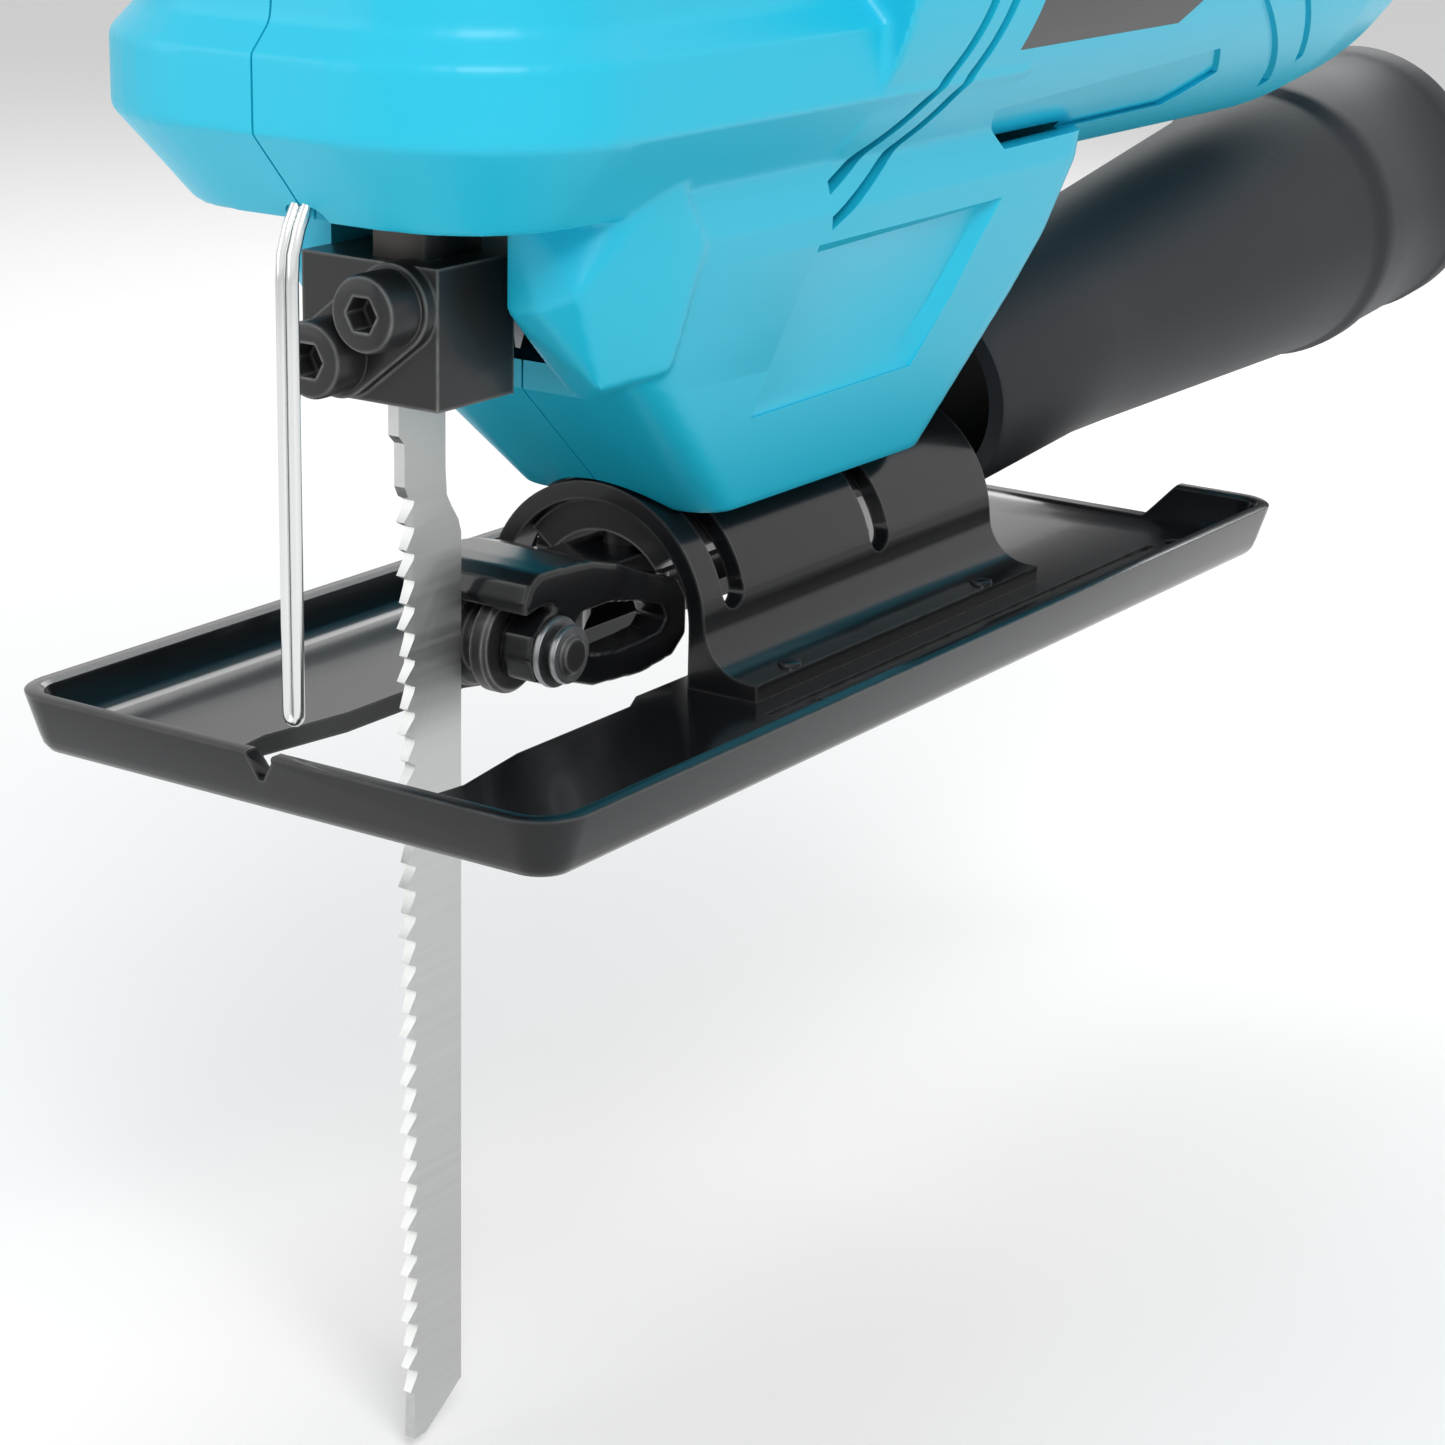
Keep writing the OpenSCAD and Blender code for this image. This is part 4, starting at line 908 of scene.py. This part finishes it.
class JIGSAW_OT_clamp(PieceOperator, bpy.types.Operator):
    """Blade clamp block with its two cap screws, and the plunger bar"""
    bl_idname = "jigsaw.clamp"
    bl_label = "Blade clamp"

    def build(self, context):
        spots = ((1.7, 43.0), (-4.4, 38.2))
        block = box("clamp_body", (-9.5, -6, 34), (5.8, 5, 46.7))
        boss = hull("boss", [(x + 4 * math.cos(a), y, z + 4 * math.sin(a)) for x, z in spots for y in (-7.4, -2)
                             for a in (math.tau * i / 40 for i in range(40))])
        combine(block, boss, "UNION")
        bevel(block, 0.55, 3, 40)
        tools = [box("t", (-3.02, -4.32, 38.6), (3.02, 4.32, 50)), box("t", (-0.63, -5.2, 30), (0.63, 8, 37.8))]
        tools += [rod_y("t", 2.0, -20, -5.2, z, x, 32) for x, z in spots]
        combine(block, tools)
        place(block, "plunger", mat("black_oxide"), ["clamp_block"])
        outline = [(0.01, 0), (1.99, 0), (1.99, 2.1), (3.5, 2.12), (3.5, 5.6), (3.3, 5.95), (2.95, 6.1), (0.01, 6.1)]
        screw = lathe("cap", outline, (0, -5.3, 0), (0, -1, 0), 64)
        hexagon = rod_y("hex", 1.73, -13, -9.0, steps=6)
        combine(screw, hexagon)
        ridge = prism_y("ridge", [(3.42, -0.14), (3.5, 0), (3.42, 0.14), (3.2, 0.16), (3.2, -0.16)], -10.7, -7.7)
        group = scatter("cap_screws", screw, [(x, 0, z) for x, z in spots], mat("black_oxide"), 0.0, 5)
        bpy.data.objects.remove(ridge)
        place(group, "plunger", mat("black_oxide"), ["clamp_screws"])
        bar = box("plunger_rod", (-3, -4.3, 38.7), (3, 4.3, 98.2))
        bevel(bar, 0.5, 2, 40)
        place(bar, "plunger", mat("dark_steel"), ["plunger_bar"])


class JIGSAW_OT_wire(PieceOperator, bpy.types.Operator):
    """Bent wire guard in front of the blade"""
    bl_idname = "jigsaw.wire"
    bl_label = "Wire guard"

    def build(self, context):
        r = 0.54
        leg = [(-10.9, 62), (-12.6, 59.4), (-14.5, 56.8), (-16.6, 53.6), (-18.0, 51.2), (-18.8, 49.0), (-19.0, 46.6),
               (-19.0, 40), (-19.0, 30), (-19.0, 20), (-19.0, 14), (-19.0, 9.2)]
        bend = [(0.6 * math.cos(a), -19.0, 8.6 - 0.6 * math.sin(a)) for a in (math.pi * i / 8 for i in range(9))]
        path = [(0.6, y, z) for y, z in leg] + bend + [(-0.6, y, z) for y, z in reversed(leg)]
        guard = sweep("bent_wire", path, r, 16)
        place(guard, "body", mat("bright_zinc"), ["wire_guard"], 60)


class JIGSAW_OT_base(PieceOperator, bpy.types.Operator):
    """Pressed base plate, tilt saddle and its spot rivets"""
    bl_idname = "jigsaw.base"
    bl_label = "Base"

    def build(self, context):
        hw, hl, mid = 29.8, 69.5, 47.7
        steps = [(0, -1.3), (0.3, -0.5), (0.9, 0.0), (1.8, 0.35), (5.5, 1.5), (5.85, 1.55), (6.0, 1.3),
                 (6.0, 0.2), (5.7, -0.25), (3.0, -1.35), (2.3, -2.0), (2.0, -2.9)]
        rings = [[(x, y + mid, z) for x, y in round_rect(hw + g, hl + g, 3.4 + g, 8)] for z, g in steps]
        plate = loft("pressed_plate", rings)
        y0, y1 = -21.8, 117.2
        half = [(10.4, y0 + 3.2), (11.6, y0 + 12), (10, y0 + 22), (10, 18), (8.6, 21), (8.6, 78)]
        outline = half + [(-x, y) for x, y in reversed(half)]
        cut = loft("t", [[(x, y, z) for x, y in outline] for z in (-3, 12)])
        tools = [cut, prism_y("t", [(-2.0, 9), (-1.8, 5.6), (-1.0, 3.3), (-0.5, 3.3), (1.0, 5.4), (1.2, 9)], y0 - 4, y0 + 3),
                 prism_y("t", [(-15, 2.05), (-21, 9), (21, 9), (15, 2.05)], y1 - 2, y1 + 6)]
        for s in (-1, 1):
            tools += [rod_z("t", 1.6, -1, 6, s * 23.8, y) for y in (107.2, 30.2)]
            tools.append(box("t", (min(s * 21.6, s * 22.6), 24, 1.55), (max(s * 21.6, s * 22.6), 104, 5)))
        combine(plate, tools)
        place(plate, "base", mat("black_enamel"), ["base_plate"])
        self.saddle()
        rivet = lathe("rivet", [(0.01, 0), (1.2, 0), (1.15, 0.28), (0.8, 0.45), (0.01, 0.5)], (0, 0, 3.84), (0, 0, 1), 24)
        points = [(s * 17.8, y, 0) for s in (-1, 1) for y in (34, 72)]
        group = scatter("spot_rivets", rivet, points, mat("black_enamel"), 0.0, 2)
        place(group, "base", mat("black_enamel"), ["saddle_rivets"])

    def saddle(self):
        r_out, r_in, fl = 13.0, 11.2, 5.0
        low, top = 2.02, 3.82
        right = [(19.2, low), (19.2, top)]
        right += [(r_out + fl - fl * math.sin(math.radians(a)), top + fl - fl * math.cos(math.radians(a)))
                  for a in range(0, 86, 8)]
        right += [(r_out * math.cos(math.radians(a)), TILT_Z + r_out * math.sin(math.radians(a)))
                  for a in range(6, 91, 3)]
        inner = [(r_in * math.cos(math.radians(a)), TILT_Z + r_in * math.sin(math.radians(a))) for a in range(90, -1, -3)]
        inner += [(r_in, low)]
        outline = right + [(-x, z) for x, z in reversed(right[:-1])]
        outline += [(-x, z) for x, z in reversed(inner)] + inner[1:]
        arch = prism_y("pressed_saddle", outline, 26, 82)
        tools = []
        for y in (31.5, 59):
            wedge = [(0, TILT_Z)] + [(20 * math.cos(math.radians(a)), TILT_Z + 20 * math.sin(math.radians(a)))
                                     for a in range(18, 163, 6)]
            tools.append(prism_y("t", wedge, y - 1.9, y + 1.9))
            for s in (-1, 1):
                low_end = Vector((s * 10, y, TILT_Z + 20 * math.tan(math.radians(18)) * 0.5))
                tools.append(rod_x("t", 1.9, *sorted((s * 4.0, s * 20.0)), low_end.y, low_end.z, 24))
        combine(arch, tools)
        place(arch, "base", mat("black_enamel"), ["tilt_saddle"], 25)


class JIGSAW_OT_roller(PieceOperator, bpy.types.Operator):
    """Guide roller, its cast arm, pin and rings"""
    bl_idname = "jigsaw.roller"
    bl_label = "Guide roller"

    def build(self, context):
        y, z = ROLLER_YZ
        outline = [(2.06, -3), (4.5, -3), (4.9, -2.6), (4.9, -1.3), (4.6, -1.0), (3.4, -0.8), (3.3, 0), (3.4, 0.8),
                   (4.6, 1.0), (4.9, 1.3), (4.9, 2.6), (4.5, 3), (2.06, 3)]
        roller = lathe("grooved_roller", outline, (0, y, z), (1, 0, 0), 72)
        place(roller, "roller", mat("black_oxide"), ["guide_roller"])
        self.arm(y, z)
        pin = lathe("roller_pin", [(0.01, -7.6), (1.7, -7.6), (2, -7.3), (2, 9.6), (1.6, 10), (0.01, 10)],
                    (0, y, z), (1, 0, 0), 48)
        place(pin, "body", mat("black_oxide"), ["roller_axle"])
        rings = lathe("ring_a", [(2.01, 7.4), (3.3, 7.4), (3.4, 7.6), (3.4, 7.9), (3.3, 8.1), (2.01, 8.1)],
                      (0, y, z), (1, 0, 0), 48)
        second = lathe("ring_b", [(2.01, 8.8), (2.7, 8.8), (2.8, 9), (2.8, 9.3), (2.7, 9.5), (2.01, 9.5)],
                       (0, y, z), (1, 0, 0), 48)
        combine(rings, second, "UNION")
        rings.name = "roller_rings"
        place(rings, "body", mat("steel"), ["roller_clips"])

    def arm(self, y, z):
        """Casting with two windowed cheeks, a web that hooks over the roller and a strap to the clamp"""
        cheek = [(6.0, 8.6), (6.4, 10.8), (8.6, 12.6), (10.6, 13.2), (8.2, 13.7), (5.4, 13.2), (5.2, 14.4),
                 (5.9, 16.0), (7.4, 16.9), (10.4, 16.8), (15.6, 16.4), (20, 15.2), (25, 13.2), (30, 11.6),
                 (31.6, 9.4), (31.6, 5.6), (29.4, 3.9), (24, 3.3), (16, 4.0), (12.4, 5.2), (9.6, 5.5), (6.9, 6.5)]
        window = [(12.9, 10.6), (14.2, 11.7), (18.5, 11.7), (24, 10.6), (27.4, 9.4), (28.3, 7.9), (27, 6.8),
                  (20, 6.6), (15.4, 7.4), (13.0, 9.0)]
        arm = prism_x("cast_arm", cheek, -7.2, 7.2)
        tools = [prism_x("t", window, -20, 20), rod_x("t", 5.4, -3.4, 3.4, y, z),
                 box("t", (-3.4, -5, 0), (3.4, 13.0, 13.4)), box("t", (-3.4, 15, 0), (3.4, 40, 10.8))]
        combine(arm, tools)
        combine(arm, box("strap", (-4.3, 20, 11.2), (4.3, 64, 14)), "UNION")
        soften(arm, 0.25, 3, 0.6)
        combine(arm, [rod_x("t", 2.02, -20, 20, y, z)] + [rod_z("t", 2.65, 0, 40, 0, by) for by in (31.5, 59)]
                + [rod_z("t", 4.4, 0, 11.2, 0, 31.5)])
        place(arm, "body", mat("black_enamel"), ["roller_arm"])


class JIGSAW_OT_tube(PieceOperator, bpy.types.Operator):
    """Dust tube with its latch tongue"""
    bl_idname = "jigsaw.tube"
    bl_label = "Dust tube"

    def build(self, context):
        outer = [(12.2, 0), (12.4, 0.4), (12.4, 27), (13.0, 36), (17.1, 88), (17.3, 90), (17.9, 91), (18, 92.5),
                 (18, 94.5), (17.6, 95.2), (17.6, 116.5), (18, 117.2), (18, 121.6), (17.7, 122)]
        inner = [(16.4, 122), (16.0, 121.4), (16.0, 93), (15.4, 91.5), (15.0, 88), (10.4, 28), (10.4, 0)]
        lean = math.radians(5)
        axis = (0, math.cos(lean), math.sin(lean))
        tube = lathe("tapered_tube", outer + inner, (0, 85.4, 19.6), axis, 96)
        tongue = box("tongue", (-4.8, 70, 32.6), (4.8, 100, 36.2))
        bevel(tongue, 0.6, 2)
        trim = lathe("trim", [(0.01, -20), (11.4, -20), (11.4, 60), (0.01, 60)], (0, 85.4, 19.6), axis, 64)
        combine(tongue, trim)
        combine(tube, tongue, "UNION")
        place(tube, "tube", mat("tube_plastic"), ["dust_tube"])


class JIGSAW_OT_controls(PieceOperator, bpy.types.Operator):
    """Trigger, speed dial, lock button and cord inlet"""
    bl_idname = "jigsaw.controls"
    bl_label = "Controls"

    def build(self, context):
        y, z = 66.0, 146.0
        side = [(y - 17, z + 4), (y - 17, z - 1), (y - 14, z - 11), (y - 9, z - 11), (y - 5.5, z - 8.2), (y - 1, z - 6.8),
                (y + 3, z - 7.0), (y + 8, z - 7.5), (y + 14, z - 1), (y + 14, z + 4)]
        trigger = prism_x("curved_trigger", side, -7.3, 7.3)
        bevel(trigger, 1.1, 3, 50)
        combine(trigger, rod_x("t", 5.4, -1.9, 1.9, y - 8.6, z - 7.4, 48))
        place(trigger, "trigger", mat("black_plastic"), ["trigger"])
        dial = lathe("dial_body", [(0.8, -1.6), (4.6, -1.6), (4.9, -1.3), (4.9, 1.3), (4.6, 1.6), (0.8, 1.6)],
                     (0, y - 8.6, z - 7.4), (1, 0, 0), 60)
        teeth = [prism_x("r", [(y - 8.6 + r * math.cos(a), z - 7.4 + r * math.sin(a)) for r, a in
                               ((4.5, t - 0.09), (5.18, t - 0.05), (5.18, t + 0.05), (4.5, t + 0.09))], -1.3, 1.3)
                 for t in (math.tau * i / 18 for i in range(18))]
        combine(dial, teeth, "UNION")
        dial.name = "thumb_dial"
        place(dial, "dial", mat("dial_plastic"), ["speed_dial"])
        cap = [(0.01, 10), (5.4, 10), (5.4, 11), (4.4, 11), (4.4, 17.4), (4.0, 18.1), (3.0, 18.4), (2.2, 18.1), (0.01, 18)]
        button = lathe("round_button", cap, (0, 74, 164), (1, 0, 0), 48)
        place(button, "button", mat("black_plastic"), ["lock_button"])
        sleeve = [(3.6, -12), (6.4, -12), (6.4, 4), (7.5, 4), (7.6, 4.2), (7.6, 5.6), (7.2, 6), (4.2, 6), (3.6, 5.4)]
        gland = lathe("cord_inlet", sleeve, (0, 0, 0), (0, 0, 1), 64)
        along_gland(gland)
        place(gland, "body", mat("black_plastic"), ["cord_gland"])


class JIGSAW_OT_drive(PieceOperator, bpy.types.Operator):
    """Fan and commutator rebuilt in detail; the other drive parts keep their CAD shape and get their finishes in the
    Finishes step
    """
    bl_idname = "jigsaw.drive"
    bl_label = "Motor and drive"

    def build(self, context):
        hub = lathe("fan_hub", [(4.02, 41), (23.8, 41), (24, 41.4), (23.8, 42.4), (9.6, 43), (9, 44), (9, 50), (4.02, 50)],
                    (0, 0, MOTOR_Z), (0, 1, 0), 72)
        rows = []
        for i in range(9):
            t = i / 8
            r, a = 8.6 + 14.8 * t, 0.55 * t * t
            rows.append([(r * math.cos(a + da / r), yy, r * math.sin(a + da / r))
                         for yy, da in ((42, -0.6), (50 - 3 * t, -0.45), (50 - 3 * t, 0.45), (42, 0.6))])
        vane = loft("vane", rows)
        vanes = ring_of("vanes", vane, 12, (0, 0, MOTOR_Z), mat("black_plastic"))
        combine(hub, vanes, "UNION")
        hub.name = "vaned_fan"
        place(hub, "armature", mat("black_plastic"), ["cooling_fan"])
        bar = prism_y("bar", [(4.02, -0.95), (4.02, 0.95), (11, 1.25), (11, -1.25)], 110, 125)
        ring = ring_of("commutator_bars", bar, 24, (0, 0, MOTOR_Z), mat("copper"))
        place(ring, "armature", mat("copper"), ["commutator"])


class JIGSAW_OT_finishes(PieceOperator, bpy.types.Operator):
    """Gives every CAD piece that is still shown its own finish"""
    bl_idname = "jigsaw.finishes"
    bl_label = "Finishes"

    def build(self, context):
        slots = {s["node"]: s["material_slot"] for s in frame["record"]["subparts"]}
        for name, node in frame["nodes"].items():
            if node.hide_render:
                continue
            node.data.materials.clear()
            node.data.materials.append(mat(slots[name]))
            shade(node, 30)


class JIGSAW_OT_stage(PieceOperator, bpy.types.Operator):
    """White floor, soft lights and the camera"""
    bl_idname = "jigsaw.stage"
    bl_label = "Stage"

    def build(self, context):
        cfg = context.scene.jigsaw_stage
        scene = context.scene
        floor = loft("floor", [[(x, y, z) for x, y in ((-4000, -4000), (4000, -4000), (4000, 4000), (-4000, 4000))]
                               for z in (-81.5, -71.5)])
        floor.data.materials.append(self.white())
        lights = [self.lamp("key", (520, -420, 620), 420, cfg.key), self.lamp("fill", (-500, -500, 260), 500, cfg.key * 0.25),
                  self.lamp("rim", (-200, 620, 480), 380, cfg.key * 0.6)]
        world = bpy.data.worlds.new("studio")
        scene.world = world
        world.use_nodes = True
        tree = world.node_tree
        back = tree.nodes["Background"]
        back.inputs["Color"].default_value = (1, 1, 1, 1)
        path, mix = tree.nodes.new("ShaderNodeLightPath"), tree.nodes.new("ShaderNodeMix")
        mix.data_type = "FLOAT"
        mix.inputs[2].default_value = cfg.sky
        mix.inputs[3].default_value = 1.0
        seen = path.outputs["Is Camera Ray"]
        for ray in ("Is Glossy Ray", "Is Transmission Ray"):
            either = tree.nodes.new("ShaderNodeMath")
            either.operation = "MAXIMUM"
            tree.links.new(seen, either.inputs[0])
            tree.links.new(path.outputs[ray], either.inputs[1])
            seen = either.outputs[0]
        tree.links.new(seen, mix.inputs[0])
        tree.links.new(mix.outputs[0], back.inputs["Strength"])
        scene.view_settings.view_transform = "Standard"
        self.camera(scene)

    def white(self):
        mat_, tree, bsdf = shader("floor_white")
        bsdf.inputs["Base Color"].default_value = (0.92, 0.92, 0.92, 1)
        bsdf.inputs["Roughness"].default_value = 0.9
        return mat_

    def lamp(self, name, spot, size, power):
        data = bpy.data.lights.new(name, "AREA")
        data.energy = power
        data.size = size * MM
        obj = bpy.data.objects.new(name, data)
        bpy.context.scene.collection.objects.link(obj)
        obj.location = Vector(spot) * MM
        aim = Vector((0, 50, 60)) * MM - obj.location
        obj.rotation_euler = aim.to_track_quat("-Z", "Y").to_euler()
        return obj

    def camera(self, scene):
        az, el, roll = (math.radians(a) for a in (33.19, 17.84, 1.44))
        back = Vector((math.sin(az) * math.cos(el), -math.cos(az) * math.cos(el), math.sin(el)))
        right = Vector((math.cos(az), math.sin(az), 0))
        up = back.cross(right)
        x = right * math.cos(roll) + up * math.sin(roll)
        y = up * math.cos(roll) - right * math.sin(roll)
        data = bpy.data.cameras.new("camera")
        data.lens = 83.66
        data.sensor_width = 36.0
        data.clip_start = 0.01
        obj = bpy.data.objects.new("camera", data)
        scene.collection.objects.link(obj)
        rot = Matrix((x, y, back)).transposed().to_4x4()
        obj.matrix_world = Matrix.Translation(Vector((184.4, -232.4, 98.8)) * MM) @ rot
        scene.camera = obj


BUILD = [
    JIGSAW_OT_housing, JIGSAW_OT_screws, JIGSAW_OT_blade, JIGSAW_OT_clamp, JIGSAW_OT_wire, JIGSAW_OT_base,
    JIGSAW_OT_roller, JIGSAW_OT_tube, JIGSAW_OT_controls, JIGSAW_OT_drive, JIGSAW_OT_finishes, JIGSAW_OT_stage,
]


class JIGSAW_PT_panel(bpy.types.Panel):
    """Buttons and settings in the sidebar"""
    bl_label = "Jigsaw"
    bl_idname = "JIGSAW_PT_panel"
    bl_space_type = "VIEW_3D"
    bl_region_type = "UI"
    bl_category = "Jigsaw"

    def draw(self, context):
        layout = self.layout
        for group in (context.scene.jigsaw_housing, context.scene.jigsaw_blade, context.scene.jigsaw_stage):
            for key in group.__annotations__:
                layout.prop(group, key)
        for op in BUILD:
            layout.operator(op.bl_idname)


GROUPS = {"jigsaw_housing": HousingSettings, "jigsaw_blade": BladeSettings, "jigsaw_stage": StageSettings}


def register():
    for cls in [*GROUPS.values(), *BUILD, JIGSAW_PT_panel]:
        bpy.utils.register_class(cls)
    for name, cls in GROUPS.items():
        setattr(bpy.types.Scene, name, bpy.props.PointerProperty(type=cls))


def unregister():
    for name in GROUPS:
        delattr(bpy.types.Scene, name)
    for cls in reversed([*GROUPS.values(), *BUILD, JIGSAW_PT_panel]):
        bpy.utils.unregister_class(cls)


def main():
    register()
    for op in BUILD:
        family, action = op.bl_idname.split(".")
        getattr(getattr(bpy.ops, family), action)()


if __name__ == "__main__":
    main()
